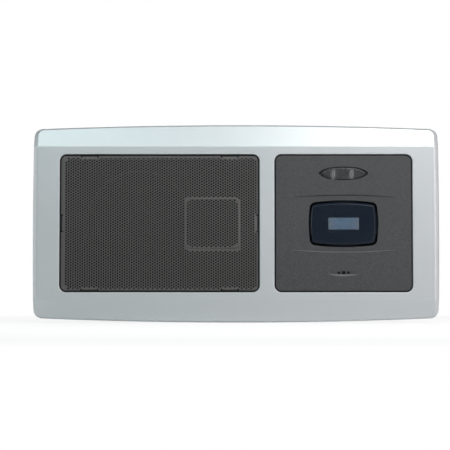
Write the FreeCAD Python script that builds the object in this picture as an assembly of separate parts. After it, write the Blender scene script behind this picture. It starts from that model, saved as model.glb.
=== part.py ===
import FreeCAD, Part
import math
import os

# Wall-mounted door intercom station, sizes in millimetres.
# X runs across the face, Z is up, and the face looks along -Y.
# The wall's surface is the plane Y = 0, and the origin is the centre of the four wall screws.

# Face frame
face_width = 252.0
face_height = 123.0
face_depth = 14.0
end_drop = 2.7
side_bow = 0.55
crease_span = 95.6
band_fall = 4.0
corner_radius = 5.0
side_bevel_width = 2.6
side_bevel_depth = 1.6
long_bevel = 0.8
crease_radius = 4.0
front_wall = 2.6
side_wall = 3.0
rim_wall = 1.3
rib_thickness = 1.6

# Windows in the face
window_height = 85.6
panel_window_width = 85.6
window_bar = 9.2
window_radius = 4.3
side_margin = 16.6

# Speaker grille, a formed and perforated steel sheet with bent tabs
grille_sheet = 1.0
grille_gap = 0.9
grille_sink = 1.1
grille_border = 2.0
hole_pitch = 1.676
hole_diameter = 1.2
holes_grouped = 7
emboss_width = 33.8
emboss_height = 31.4
emboss_end_distance = 29.45
emboss_rise = 0.3
emboss_raise = 0.9
emboss_slope_width = 0.9
tab_reach = 5.0
tab_distance = 18.5
tab_width = 9.4
relief_width = 0.8
relief_depth = 1.4
ledge_width = 3.0
ledge_thickness = 2.0
slot_clearance = 0.2

# Baffle behind the grille
baffle_thickness = 2.5
baffle_edge_gap = 1.0
pad_size = 8.0
pad_inset = 2.0
cone_margin = 5.5
mouth_step = 1.0

# Speaker
speaker_end_gap = 10.9
speaker_margin = 4.3
speaker_step = 1.5
basket_sheet = 0.9
basket_depth = 14.0
basket_leg_width = 12.0
diaphragm_sheet = 0.4
rim_lap = 2.5
roll_width = 5.0
roll_height = 1.5
coil_diameter = 20.0
coil_wall = 0.6
coil_clearance = 0.5
dome_rise = 3.0
cone_fall = 7.0
pot_wall = 2.5
pot_depth = 12.0
magnet_height = 6.0
pole_thickness = 2.5
waist_radius = 22.0
round_facets = 24
small_facets = 12

# Control panel
panel_gap = 0.8
panel_sink = 0.3
panel_wall = 2.2
panel_skirt = 1.8
panel_flange = 3.0
flange_step = 2.0
scoop_width = 66.0
scoop_top = 17.8
scoop_bottom = 18.3
scoop_arc_drop = 1.7
scoop_depth = 0.8
mic_edge_distance = 12.05
mic_hole_spacing = 3.0
mic_hole_diameter = 1.9
mic_side_hole_diameter = 1.4
mic_scoop_width = 19.2
mic_scoop_rise = 1.5
mic_scoop_lip = 1.9
mic_scoop_depth = 0.6

# Snap arms that hold the panel, the board and the speaker
arm_thickness = 1.5
arm_width = 9.0
arm_span = 48.0
nose_reach = 1.2
nose_height = 1.2
arm_gap = 0.2
rib_gap = 0.5

# Status lens and its two lamps
lens_edge_distance = 11.85
lens_width = 33.8
lens_height = 7.8
lens_gap = 0.4
lens_tip_radius = 1.1
lens_rim = 1.6
lens_rim_thickness = 1.0
lens_sink = 0.1
lamp_spacing = 11.4
lamp_width = 2.0
lamp_height = 5.0

# Call button
button_rise = -0.35
button_width = 40.9
button_height = 26.7
button_end_bow = 1.5
button_side_bow = 1.2
button_corner_radius = 1.6
button_gap = 1.2
button_proud = 0.8
button_wall = 1.7
button_bevel = 1.1
button_travel = 1.2
keeper_reach = 1.0
keeper_thickness = 1.3
keeper_width = 14.0
stem_spacing = 26.0
stem_width = 4.0
button_window_width = 19.2
button_window_height = 7.6
button_window_rim = 1.0
button_window_rim_thickness = 0.8
rest_gap = 0.3
guide_clearance = 0.3
guide_wall = 1.2

# Rubber return pad and its contact pills
pad_base = 1.0
pad_width = 40.0
pad_height = 14.0
dome_foot = 9.6
dome_top = 6.6
dome_wall = 0.6
dome_cap = 0.9
pill_width = 4.0
pill_thickness = 0.6
pad_eye = 6.0

# Circuit board and what stands on it
board_margin = 6.8
board_thickness = 1.6
board_stand_off = 7.0
post_width = 5.0
post_inset = 4.0
terminal_count = 6
terminal_pitch = 8.5
terminal_depth = 12.0
terminal_wall = 1.2
terminal_height = 14.5
terminal_drop = 18.0
terminal_well = 5.0
clamp_thickness = 1.0
clamp_depth = 8.4
chip_size = 14.0
chip_thickness = 4.0
can_diameter = 8.0
can_height = 9.0

# Microphone
capsule_diameter = 9.7
capsule_length = 6.0
boot_wall = 1.4

# Rear housing
flange_thickness = 2.0
flange_gap = 0.3
tub_inset_x = 2.4
tub_inset_z = 0.8
tub_radius = 6.0
tub_wall = 2.0
speaker_chamber = 24.0
board_chamber = 11.0
terminal_window_gap = 0.6

# Housing screws and their square bosses
boss_width = 6.6
boss_inset = 10.0
boss_span = 82.0
screw_diameter = 3.0
pilot_clearance = 0.05
screw_hole_diameter = 3.5
head_diameter = 5.2
head_height = 1.7
screw_length = 8.0

# Mounting frame, wall gasket and lock screws
gasket_thickness = 2.0
gasket_inset = 0.9
gasket_width = 3.6
bracket_sheet = 1.5
bracket_gap = 0.3
bracket_window_gap = 2.0
wall_screw_inset = 11.0
wall_screw_span_z = 56.0
wall_screw_diameter = 4.5
head_clearance = 0.4
hook_span = 140.0
hook_width = 14.0
hook_lip = 4.0
hook_rise = 6.7
hook_clearance = 0.3
hook_lift = 0.6
lip_width = 14.0
lip_depth = 6.6
lock_screw_diameter = 3.0
lock_head_diameter = 5.6
lock_head_height = 1.6
lock_screw_length = 7.5
lock_hole_clearance = 0.2
notch_clearance = 1.0

# Planes and places that follow from the sizes above
face_y = -face_depth
face_back = face_y + front_wall
rim_y = -gasket_thickness
flange_y = rim_y - flange_thickness
grille_window_width = face_width - 2 * side_margin - window_bar - panel_window_width
grille_left = -face_width / 2 + side_margin
grille_right = grille_left + grille_window_width
grille_x = (grille_left + grille_right) / 2
panel_x = face_width / 2 - side_margin - panel_window_width / 2
bar_x = grille_right + window_bar / 2
emboss_x = grille_right - emboss_end_distance
panel_reach = panel_window_width / 2 + panel_flange + arm_gap
rib_x = panel_x - panel_reach - arm_thickness - rib_gap - rib_thickness / 2
sheet_y = face_y + grille_sink
ledge_y = sheet_y + grille_sheet
baffle_y = ledge_y + ledge_thickness
baffle_back = baffle_y + baffle_thickness
speaker_square = window_height - 2 * speaker_margin
cone_opening = speaker_square - 2 * cone_margin
speaker_x = grille_left + speaker_end_gap + speaker_square / 2
speaker_y = baffle_back + speaker_step
panel_y = face_y + panel_sink
panel_back = panel_y + panel_wall
panel_flange_back = face_back + flange_step
board_y = panel_back + board_stand_off
board_back = board_y + board_thickness
button_y = panel_y - button_proud
button_inside = button_y + button_wall
keeper_y = panel_back + rest_gap
lens_z = window_height / 2 - lens_edge_distance
mic_z = mic_edge_distance - window_height / 2
board_width = panel_window_width - 2 * board_margin
board_height = window_height - 2 * board_margin
boss_x = face_width / 2 - boss_inset
tub_width = face_width - 2 * (side_margin + tub_inset_x)
tub_height = window_height - 2 * tub_inset_z
wall_screw_span_x = face_width - 2 * wall_screw_inset
hook_height = window_height / 2 + hook_rise
bracket_inset = gasket_inset + gasket_width + bracket_gap
lock_y = flange_y - lock_screw_diameter / 2 - lock_hole_clearance
mouth_radius = cone_opening / 2 + mouth_step
coil_radius = coil_diameter / 2
pot_radius = coil_radius + coil_clearance + pot_wall
pot_y = speaker_y + basket_depth
pot_back = pot_y + pot_depth
magnet_radius = coil_radius - coil_wall - coil_clearance
magnet_y = pot_back - pot_wall - magnet_height
coil_y = speaker_y + basket_sheet + cone_fall + diaphragm_sheet
pill_back = board_y - rest_gap - button_travel
dome_y = pill_back - pill_thickness - rest_gap - dome_cap


def at(x, y, z):
    return FreeCAD.Vector(x, y, z)


def edges_along_y(shape):
    return [edge for edge in shape.Edges if abs(edge.tangentAt(edge.FirstParameter).y) > 0.99]


def slab(x, z, width, height, front, back, radius=0.0):
    """A rectangular slab between two planes, with its four Y edges rounded."""
    corner = at(x - width / 2, front, z - height / 2)
    block = Part.makeBox(width, back - front, height, corner)
    if radius > 0:
        block = block.makeFillet(radius, edges_along_y(block))
    return block


def bowed_slab(x, z, width, height, end_fall, bow, radius, front, back):
    """A slab whose long edges and sides are shallow arcs."""
    half_x = width / 2 - bow
    half_z = height / 2 - end_fall
    corners = [
        at(x - half_x, front, z + half_z),
        at(x + half_x, front, z + half_z),
        at(x + half_x, front, z - half_z),
        at(x - half_x, front, z - half_z),
    ]
    middles = [
        at(x, front, z + height / 2),
        at(x + width / 2, front, z),
        at(x, front, z - height / 2),
        at(x - width / 2, front, z),
    ]
    edges = []
    for i in range(4):
        edges.append(Part.Arc(corners[i], middles[i], corners[(i + 1) % 4]).toShape())
    block = Part.Face(Part.Wire(edges)).extrude(at(0, back - front, 0))
    return block.makeFillet(radius, edges_along_y(block)) if radius > 0 else block


def post(x, z, diameter, front, back):
    return Part.makeCylinder(diameter / 2, back - front, at(x, front, z), at(0, 1, 0))


def around(x, y, z, radius, turn):
    """A point on a circle about a Y axis."""
    return at(x + radius * math.cos(turn), y, z + radius * math.sin(turn))


def facet_turn(i, sides):
    return 2 * math.pi * (i + 0.5) / sides


def prism(x, z, across, front, back, sides):
    """A regular prism along Y, measured across its corners."""
    points = [around(x, front, z, across / 2, facet_turn(i, sides)) for i in range(sides)]
    return Part.Face(Part.makePolygon(points + [points[0]])).extrude(at(0, back - front, 0))


def solid_from(faces):
    shell = Part.makeShell(faces)
    shell.sewShape()
    body = Part.makeSolid(shell)
    if body.Volume < 0:
        body.reverse()
    return body


def faceted(x, z, outline, sides):
    """A thin body about a Y axis, from its outline of radius and Y, with flat facets."""
    faces = []
    for i in range(sides):
        turns = facet_turn(i, sides), facet_turn(i + 1, sides)
        for start, end in zip(outline, outline[1:] + outline[:1]):
            corners = []
            for (radius, y), turn in ((start, turns[0]), (end, turns[0]), (end, turns[1]), (start, turns[1])):
                corner = around(x, y, z, radius, turn)
                if all(corner.distanceToPoint(other) > 1e-6 for other in corners):
                    corners.append(corner)
            if len(corners) > 2:
                faces.append(Part.Face(Part.makePolygon(corners + [corners[0]])))
    return solid_from(faces)


def prism_along_x(points, start, end):
    """A solid between two X planes, from points of Y and Z."""
    corners = [at(start, y, z) for y, z in points]
    return Part.Face(Part.makePolygon(corners + [corners[0]])).extrude(at(end - start, 0, 0))


def snap_arm(x, z, way, front, seat):
    """A springy arm whose inner face is at x, and whose nose reaches back over a seated edge."""
    arm = slab(x + way * arm_thickness / 2, z, arm_thickness, arm_width, front, seat + nose_height)
    nose = slab(x - way * nose_reach / 2, z, nose_reach, arm_width, seat, seat + nose_height)
    return arm.fuse(nose)


def snap_arms(x, reach, front, seat):
    """Two arms at each side of a plate."""
    arms = []
    for way in (-1, 1):
        for z in (-arm_span / 2, arm_span / 2):
            arms.append(snap_arm(x + way * reach, z, way, front, seat))
    return arms


def save(node, shape):
    solids = shape.Solids
    result = solids[0] if len(solids) == 1 else Part.makeCompound(solids)
    if not result.isValid():
        raise ValueError(node + " is not a valid solid")
    result.exportStep("parts/" + node + ".step")


# Face frame

def bevel_face_edges(form):
    """Bevels the face's outer edge, wide at the sides and narrow along the top and bottom."""
    document = FreeCAD.newDocument("face")
    base = document.addObject("Part::Feature", "form")
    base.Shape = form
    bevel = document.addObject("Part::Chamfer", "bevel")
    bevel.Base = base
    rows = []
    for number, edge in enumerate(form.Edges, 1):
        box = edge.BoundBox
        is_crease = box.ZLength < 1e-3 and box.XLength > face_width / 2
        if is_crease or box.YMax > face_y + band_fall + long_bevel:
            continue
        if box.XLength > face_width / 2:
            rows.append((number, long_bevel, long_bevel))
        else:
            rows.append((number, side_bevel_width, side_bevel_depth))
    bevel.Edges = rows
    document.recompute()
    bevelled = bevel.Shape.copy()
    FreeCAD.closeDocument(document.Name)
    return bevelled


def face_form(inset, drop, radius):
    """The face's outside, or with an inset and a drop its hollow: a flat middle and two sloping bands."""
    form = bowed_slab(
        0, 0, face_width - 2 * inset, face_height - 2 * inset, end_drop, side_bow,
        radius, face_y + drop, rim_y,
    )
    slope = band_fall / (face_height / 2 - crease_span / 2)
    stretch = math.sqrt(1 + slope ** 2)
    crease_z = crease_span / 2 + drop * (1 - stretch) / slope
    for side in (1, -1):
        wedge = prism_along_x(
            [
                (face_y + drop, side * crease_z),
                (face_y + drop + slope * (face_height - crease_z), side * face_height),
                (2 * face_y, side * face_height),
                (2 * face_y, side * crease_z),
            ],
            -face_width, face_width,
        )
        form = form.cut(wedge)
    return form.Solids[0]


def housing_screw_places():
    return [(i * boss_x, j * boss_span / 2) for i in (-1, 1) for j in (-1, 1)]


def lip_outer_z(x):
    """The height of a lock lip's underside, level with the plate's edge at the lip's outer end."""
    bow = end_drop * (2 * (abs(x) + lip_width / 2) / face_width) ** 2
    return -(face_height / 2 - bracket_inset - bow)


def lock_seat_z(x):
    """The height at which a lock screw's head bears in the frame's bottom wall."""
    bow = end_drop * (2 * x / face_width) ** 2
    return -(face_height / 2 - bow) + lock_head_height


def lock_places():
    return [-hook_span / 2, hook_span / 2]


def upright_prism(x, y, across, low, high, sides):
    """A regular prism along Z, measured across its corners."""
    points = []
    for i in range(sides):
        turn = facet_turn(i, sides)
        points.append(at(x + across / 2 * math.cos(turn), y + across / 2 * math.sin(turn), low))
    return Part.Face(Part.makePolygon(points + [points[0]])).extrude(at(0, 0, high - low))


def tab_places():
    """Each tab of the grille: its centre and the side of the sheet it leaves from."""
    edge = window_height / 2 - grille_gap
    end = grille_window_width / 2 - grille_gap
    places = []
    for x in (grille_left + tab_distance, grille_right - tab_distance):
        places.append((x, edge, "top"))
        places.append((x, -edge, "bottom"))
    places.append((grille_x - end, 0.0, "left"))
    places.append((grille_x + end, 0.0, "right"))
    return places


def tab_box(place, widen, outward, reach, front, back):
    """A box in from the sheet's edge at a tab, widened at each side and carried outward."""
    x, z, side = place
    span = tab_width + 2 * widen
    depth = reach + outward
    middle = (outward - reach) / 2
    if side == "top":
        return slab(x, z + middle, span, depth, front, back)
    if side == "bottom":
        return slab(x, z - middle, span, depth, front, back)
    if side == "left":
        return slab(x - middle, z, depth, span, front, back)
    return slab(x + middle, z, depth, span, front, back)


def tab_slots(front, back):
    reach = grille_sheet + slot_clearance
    return [tab_box(place, slot_clearance, slot_clearance, reach, front, back) for place in tab_places()]


def make_front_frame():
    outer = face_form(0.0, 0.0, corner_radius)
    creases = [e for e in outer.Edges if e.BoundBox.ZLength < 1e-3 and e.BoundBox.YMax < face_y + 1e-3]
    outer = bevel_face_edges(outer.makeFillet(crease_radius, creases))
    inner = face_form(side_wall, front_wall, 0.0)
    rear_pocket = bowed_slab(
        0, 0, face_width - 2 * rim_wall, face_height - 2 * rim_wall, end_drop, side_bow,
        corner_radius - rim_wall, flange_y, rim_y,
    )
    frame = outer.cut([inner, rear_pocket])
    root = face_back - front_wall / 2
    ledge = slab(
        grille_x, 0, grille_window_width + 2 * ledge_width, window_height + 2 * ledge_width,
        root, baffle_y,
    )
    bar_rib = slab(rib_x, 0, rib_thickness, window_height, root, flange_y)
    pieces = [ledge, bar_rib] + snap_arms(panel_x, panel_reach, root, panel_flange_back)
    for x, z in housing_screw_places():
        wall_x = math.copysign(face_width / 2 - side_wall / 2, x)
        pieces.append(slab(x, z, boss_width, boss_width, root, flange_y))
        pieces.append(slab((x + wall_x) / 2, z, abs(wall_x - x), rib_thickness, root, flange_y))
    frame = frame.fuse(pieces)
    cuts = [
        slab(grille_x, 0, grille_window_width, window_height, 2 * face_y, ledge_y, window_radius),
        slab(
            grille_x, 0, grille_window_width - 2 * ledge_width, window_height - 2 * ledge_width,
            2 * face_y, 0, window_radius,
        ),
        slab(panel_x, 0, panel_window_width, window_height, 2 * face_y, face_back, window_radius),
    ]
    cuts += tab_slots(ledge_y, baffle_y)
    for x, z in housing_screw_places():
        bore = screw_diameter + 2 * pilot_clearance
        cuts.append(prism(x, z, bore, rim_y - screw_length, flange_y, small_facets))
    for x in lock_places():
        for bore, top in ((lock_screw_diameter, lip_outer_z(x)), (lock_head_diameter, lock_seat_z(x))):
            across = bore + 2 * lock_hole_clearance
            cuts.append(upright_prism(x, lock_y, across, -face_height, top, small_facets))
    return frame.cut(cuts).removeSplitter()


# Grille

def frustum(x, z, front_size, back_size, front, back):
    """A four-sided body with sloping sides, from the width and height of its two ends."""
    ends = []
    for (width, height), y in ((front_size, front), (back_size, back)):
        signs = ((-1, -1), (1, -1), (1, 1), (-1, 1))
        ends.append([at(x + i * width / 2, y, z + j * height / 2) for i, j in signs])
    outlines = ends + [[ends[0][i - 1], ends[0][i], ends[1][i], ends[1][i - 1]] for i in range(4)]
    return solid_from([Part.Face(Part.makePolygon(outline + [outline[0]])) for outline in outlines])


def emboss(grow, front, back):
    """The raised square's body: sloping sides from the sheet up to a smaller top."""
    wide = emboss_width + 2 * grow, emboss_height + 2 * grow
    narrow = emboss_width + 2 * (grow - emboss_slope_width), emboss_height + 2 * (grow - emboss_slope_width)
    return frustum(emboss_x, emboss_rise, narrow, wide, front, back)


def perforation():
    """Staggered holes, where one hexagon stands for a group of the sheet's own small holes."""
    pitch_z = hole_pitch * holes_grouped
    pitch_x = pitch_z * math.cos(math.radians(30))
    size = hole_diameter * holes_grouped
    reach_x = grille_window_width / 2 - grille_gap - grille_border - grille_sheet - size / 2
    reach_z = window_height / 2 - grille_gap - grille_border - grille_sheet - size / 2
    columns = int(reach_x / pitch_x)
    holes = []
    for column in range(-columns, columns + 1):
        shift = pitch_z / 2 if column % 2 else 0.0
        rows = int((reach_z - shift) / pitch_z)
        for row in range(-rows - (1 if shift else 0), rows + 1):
            x = grille_x + column * pitch_x
            z = row * pitch_z + shift
            holes.append(prism(x, z, size, sheet_y - 2 * emboss_raise, ledge_y + grille_sheet, 6))
    return holes


def make_speaker_grille():
    width = grille_window_width - 2 * grille_gap
    height = window_height - 2 * grille_gap
    sheet = slab(grille_x, 0, width, height, sheet_y, ledge_y, window_radius - grille_gap)
    raised = emboss(0.0, sheet_y - emboss_raise, sheet_y)
    hollow = emboss(-grille_sheet / 2, ledge_y - emboss_raise, ledge_y)
    sheet = sheet.fuse(raised).cut(hollow)
    reliefs = []
    for place in tab_places():
        widened = tab_box(place, relief_width, grille_sheet, relief_depth, 2 * sheet_y, 0)
        kept = tab_box(place, 0.0, 2 * grille_sheet, 2 * relief_depth, 2 * sheet_y, 0)
        reliefs.append(widened.cut(kept))
    sheet = sheet.cut(reliefs + perforation())
    tabs = []
    for place in tab_places():
        tabs.append(tab_box(place, 0.0, 0.0, grille_sheet, ledge_y - grille_sheet / 2, baffle_back + grille_sheet))
        tabs.append(tab_box(place, 0.0, 0.0, tab_reach, baffle_back, baffle_back + grille_sheet))
    return sheet.fuse(tabs).removeSplitter()


def make_speaker_baffle():
    margin = 2 * (ledge_width - baffle_edge_gap)
    plate = slab(
        grille_x, 0, grille_window_width + margin, window_height + margin,
        baffle_y, baffle_back,
    )
    pieces = snap_arms(speaker_x, speaker_square / 2 + arm_gap, baffle_y, speaker_y + basket_sheet)
    half = (speaker_square - pad_size) / 2 - pad_inset
    for i in (-1, 1):
        for j in (-1, 1):
            pieces.append(slab(speaker_x + i * half, j * half, pad_size, pad_size, baffle_y, speaker_y))
    opening = prism(speaker_x, 0, cone_opening, baffle_y, baffle_back, round_facets)
    return plate.fuse(pieces).cut([opening] + tab_slots(baffle_y, baffle_back)).removeSplitter()


# Speaker

def make_speaker_basket():
    back = speaker_y + basket_depth
    plate = slab(speaker_x, 0, speaker_square, speaker_square, speaker_y, speaker_y + basket_sheet)
    plate = plate.cut(prism(speaker_x, 0, 2 * mouth_radius, speaker_y, speaker_y + basket_sheet, round_facets))
    rear = prism(speaker_x, 0, 2 * waist_radius, back - basket_sheet, back, round_facets)
    rear = rear.cut(prism(speaker_x, 0, 2 * (coil_radius + coil_clearance), speaker_y, back, round_facets))
    foot = mouth_radius + 2 * rim_lap
    outline = [
        (speaker_x + foot, speaker_y + basket_sheet / 2),
        (speaker_x + foot + basket_sheet, speaker_y + basket_sheet / 2),
        (speaker_x + waist_radius + basket_sheet, back),
        (speaker_x + waist_radius - 2 * basket_sheet, back),
        (speaker_x + waist_radius - 2 * basket_sheet, back - basket_sheet),
    ]
    corners = [at(x, y, -basket_leg_width / 2) for x, y in outline]
    legs = []
    for quarter in range(4):
        leg = Part.Face(Part.makePolygon(corners + [corners[0]])).extrude(at(0, 0, basket_leg_width))
        leg.rotate(at(speaker_x, 0, 0), at(0, 1, 0), 45 + 90 * quarter)
        legs.append(leg)
    return plate.fuse([rear] + legs).removeSplitter()


def make_speaker_diaphragm():
    """One moulded sheet: a flat rim, a roll, a cone that falls back and a dome over the coil."""
    front = speaker_y + basket_sheet
    roll_out = mouth_radius - 2 * diaphragm_sheet
    roll_in = roll_out - roll_width
    line = [
        (mouth_radius + rim_lap, front),
        (roll_out, front),
        ((roll_out + roll_in) / 2, front - roll_height),
        (roll_in, front),
        (coil_radius, front + cone_fall),
        (coil_radius - coil_wall, front + cone_fall),
        (0, front + cone_fall - dome_rise),
    ]
    back = [(radius, y + diaphragm_sheet) for radius, y in reversed(line)]
    return faceted(speaker_x, 0, line + back, round_facets)


def ring(x, z, inner, outer, front, back, sides):
    return prism(x, z, 2 * outer, front, back, sides).cut(prism(x, z, 2 * inner, front, back, sides))


def make_voice_coil():
    back = pot_back - pot_wall - 2 * coil_clearance
    return ring(speaker_x, 0, coil_radius - coil_wall, coil_radius, coil_y, back, round_facets)


def make_magnet_pot():
    cup = prism(speaker_x, 0, 2 * pot_radius, pot_y, pot_back, round_facets)
    hollow = prism(speaker_x, 0, 2 * (pot_radius - pot_wall), pot_y, pot_back - pot_wall, round_facets)
    return cup.cut(hollow)


def make_speaker_magnet():
    return prism(speaker_x, 0, 2 * magnet_radius, magnet_y, magnet_y + magnet_height, round_facets)


def make_pole_plate():
    return prism(speaker_x, 0, 2 * magnet_radius, magnet_y - pole_thickness, magnet_y, round_facets)


# Control panel

def lens_outline(grow, front, back):
    """A lens shape of two arcs with rounded tips."""
    half = lens_width / 2 + grow
    rise = lens_height / 2 + grow
    left = at(panel_x - half, front, lens_z)
    right = at(panel_x + half, front, lens_z)
    upper = Part.Arc(left, at(panel_x, front, lens_z + rise), right)
    lower = Part.Arc(right, at(panel_x, front, lens_z - rise), left)
    body = Part.Face(Part.Wire([upper.toShape(), lower.toShape()])).extrude(at(0, back - front, 0))
    return body.makeFillet(lens_tip_radius + grow, edges_along_y(body))


def button_outline(grow, front, back):
    return bowed_slab(
        panel_x, button_rise, button_width + 2 * grow, button_height + 2 * grow,
        button_end_bow, button_side_bow, button_corner_radius + grow, front, back,
    )


def scoop_cutter():
    """A shallow hollow round the button, deepest at its middle and fading out at its sides."""
    half = scoop_width / 2
    front = panel_y - scoop_depth
    corners = [
        at(panel_x - half, front, scoop_top - scoop_arc_drop),
        at(panel_x + half, front, scoop_top - scoop_arc_drop),
        at(panel_x + half, front, scoop_arc_drop - scoop_bottom),
        at(panel_x - half, front, scoop_arc_drop - scoop_bottom),
    ]
    outline = Part.Wire([
        Part.Arc(corners[0], at(panel_x, front, scoop_top), corners[1]).toShape(),
        Part.LineSegment(corners[1], corners[2]).toShape(),
        Part.Arc(corners[2], at(panel_x, front, -scoop_bottom), corners[3]).toShape(),
        Part.LineSegment(corners[3], corners[0]).toShape(),
    ])
    block = Part.Face(outline).extrude(at(0, panel_wall, 0))
    radius = (half ** 2 + scoop_depth ** 2) / (2 * scoop_depth)
    drum_y = panel_y + scoop_depth - radius
    drum = Part.makeCylinder(radius, face_height, at(panel_x, drum_y, -face_height / 2), at(0, 0, 1))
    return block.common(drum)


def mic_scoop_cutter():
    """A small fingernail-shaped hollow whose floor slopes down to a curved lower lip."""
    half = mic_scoop_width / 2
    low = mic_z - mic_scoop_lip
    high = mic_z + mic_scoop_rise
    side = low + mic_scoop_rise
    front = panel_y - mic_scoop_depth
    corners = [
        at(panel_x - half, front, high),
        at(panel_x + half, front, high),
        at(panel_x + half, front, side),
        at(panel_x - half, front, side),
    ]
    outline = Part.Wire([
        Part.LineSegment(corners[0], corners[1]).toShape(),
        Part.LineSegment(corners[1], corners[2]).toShape(),
        Part.Arc(corners[2], at(panel_x, front, low), corners[3]).toShape(),
        Part.LineSegment(corners[3], corners[0]).toShape(),
    ])
    block = Part.Face(outline).extrude(at(0, panel_wall, 0))
    above_floor = prism_along_x(
        [
            (panel_y, high),
            (panel_y + mic_scoop_depth, low),
            (2 * panel_y, low),
            (2 * panel_y, high),
        ],
        panel_x - half, panel_x + half,
    )
    return block.common(above_floor)


def keepers(grow, front, back):
    """The button's four keeper lugs, or with some growth the room that they slide in."""
    ends = slab(
        panel_x, button_rise, button_width + 2 * (button_gap + keeper_reach + grow),
        keeper_width + 2 * grow, front, back,
    )
    sides = slab(
        panel_x, button_rise, keeper_width + 2 * grow,
        button_height + 2 * (button_gap + keeper_reach + grow), front, back,
    )
    return ends, sides


def keeper_guides():
    """Four short walls behind the panel that the keeper lugs slide between."""
    back = keeper_y + keeper_thickness + button_travel + rest_gap
    outer = keepers(guide_clearance + guide_wall, panel_back - panel_wall / 2, back)
    inner = keepers(guide_clearance, panel_back, back)
    hole = button_outline(button_gap, panel_y, back)
    return [wall.cut([*inner, hole]) for wall in outer]


def board_post_places():
    half_x = board_width / 2 - post_inset
    half_z = board_height / 2 - post_inset
    return [(panel_x + i * half_x, j * half_z) for i in (-1, 1) for j in (-1, 1)]


def make_control_panel():
    width = panel_window_width - 2 * panel_gap
    height = window_height - 2 * panel_gap
    radius = window_radius - panel_gap
    flange = slab(
        panel_x, 0, panel_window_width + 2 * panel_flange, window_height + 2 * panel_flange,
        face_back, panel_flange_back,
    )
    body = slab(panel_x, 0, width, height, panel_y, panel_flange_back, radius).fuse(flange)
    body = body.cut(slab(
        panel_x, 0, width - 2 * panel_skirt, height - 2 * panel_skirt, panel_back, panel_flange_back,
    ))
    root = panel_back - panel_wall / 2
    pieces = snap_arms(panel_x, board_width / 2 + arm_gap, root, board_back)
    pieces += [slab(x, z, post_width, post_width, root, board_y) for x, z in board_post_places()]
    body = body.fuse(pieces + keeper_guides())
    cuts = [
        scoop_cutter(),
        mic_scoop_cutter(),
        button_outline(button_gap, 2 * panel_y, panel_back),
        lens_outline(lens_gap, 2 * panel_y, panel_back),
        prism(panel_x, mic_z, mic_hole_diameter, 2 * panel_y, panel_back, small_facets),
    ]
    for side in (-1, 1):
        x = panel_x + side * mic_hole_spacing
        cuts.append(prism(x, mic_z, mic_side_hole_diameter, 2 * panel_y, panel_back, small_facets))
    return body.cut(cuts).removeSplitter()


def make_status_lens():
    width = lens_width + 2 * lens_rim
    height = lens_height + 2 * lens_rim
    rim = slab(panel_x, lens_z, width, height, panel_back, panel_back + lens_rim_thickness)
    return lens_outline(0.0, panel_y + lens_sink, panel_back).fuse(rim).removeSplitter()


def lamp(x, z, front):
    return slab(x, z, lamp_width, lamp_height, front, board_y)


def make_status_lamps():
    front = panel_back + lens_rim_thickness + rest_gap
    return Part.makeCompound([lamp(panel_x + side * lamp_spacing / 2, lens_z, front) for side in (-1, 1)])


def make_button_lamp():
    return lamp(panel_x, button_rise, button_inside + button_window_rim_thickness + button_travel + rest_gap)


# Call button

def make_call_button():
    skirt_back = keeper_y + keeper_thickness
    cap = button_outline(0.0, button_y, skirt_back)
    cap = cap.makeChamfer(button_bevel, [e for e in cap.Edges if e.BoundBox.YMax < button_y + 1e-6])
    cap = cap.fuse(list(keepers(0.0, keeper_y, skirt_back)))
    cap = cap.cut(slab(
        panel_x, button_rise, button_width - 2 * (button_wall + button_side_bow),
        button_height - 2 * (button_wall + button_end_bow), button_inside, skirt_back,
    ))
    stems = []
    for x in stem_places():
        stems.append(slab(x, button_rise, stem_width, stem_width, button_inside, dome_y - rest_gap))
    window = slab(panel_x, button_rise, button_window_width, button_window_height, button_y, button_inside)
    return cap.fuse(stems).cut(window).removeSplitter()


def make_button_window():
    body = slab(panel_x, button_rise, button_window_width, button_window_height, button_y, button_inside)
    rim = slab(
        panel_x, button_rise, button_window_width + 2 * button_window_rim,
        button_window_height + 2 * button_window_rim, button_inside, button_inside + button_window_rim_thickness,
    )
    return body.fuse(rim).removeSplitter()


def stem_places():
    return [panel_x - stem_spacing / 2, panel_x + stem_spacing / 2]


def square_dome(x, inset, front):
    """A square dome with sloping sides, or with an inset its hollow."""
    foot = dome_foot - 2 * inset
    crown = dome_top - 2 * inset
    return frustum(x, button_rise, (crown, crown), (foot, foot), front, board_y - pad_base)


def make_return_pad():
    pad_y = board_y - pad_base
    pad = slab(panel_x, button_rise, pad_width, pad_height, pad_y, board_y)
    hollows = [slab(panel_x, button_rise, pad_eye, pad_eye, pad_y, board_y)]
    domes = []
    well = dome_foot - 2 * dome_wall
    for x in stem_places():
        domes.append(square_dome(x, 0.0, dome_y))
        hollows.append(square_dome(x, dome_wall, dome_y + dome_cap))
        hollows.append(slab(x, button_rise, well, well, pad_y, board_y))
    return pad.fuse(domes).cut(hollows).removeSplitter()


def make_contact_pills():
    return Part.makeCompound([
        slab(x, button_rise, pill_width, pill_width, pill_back - pill_thickness, pill_back)
        for x in stem_places()
    ])


# Board and electronics

def make_circuit_board():
    return slab(panel_x, 0, board_width, board_height, board_y, board_back)


def terminal_width():
    return terminal_count * terminal_pitch + terminal_wall


def terminal_places():
    first = panel_x - (terminal_count - 1) * terminal_pitch / 2
    return [first + i * terminal_pitch for i in range(terminal_count)]


def make_terminal_block():
    back = board_back + terminal_height
    block = slab(panel_x, -terminal_drop, terminal_width(), terminal_depth, board_back, back)
    wells = []
    for x in terminal_places():
        wells.append(slab(
            x, -terminal_drop, terminal_pitch - terminal_wall, terminal_depth, back - terminal_well, back,
        ))
    return block.cut(wells)


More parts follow.
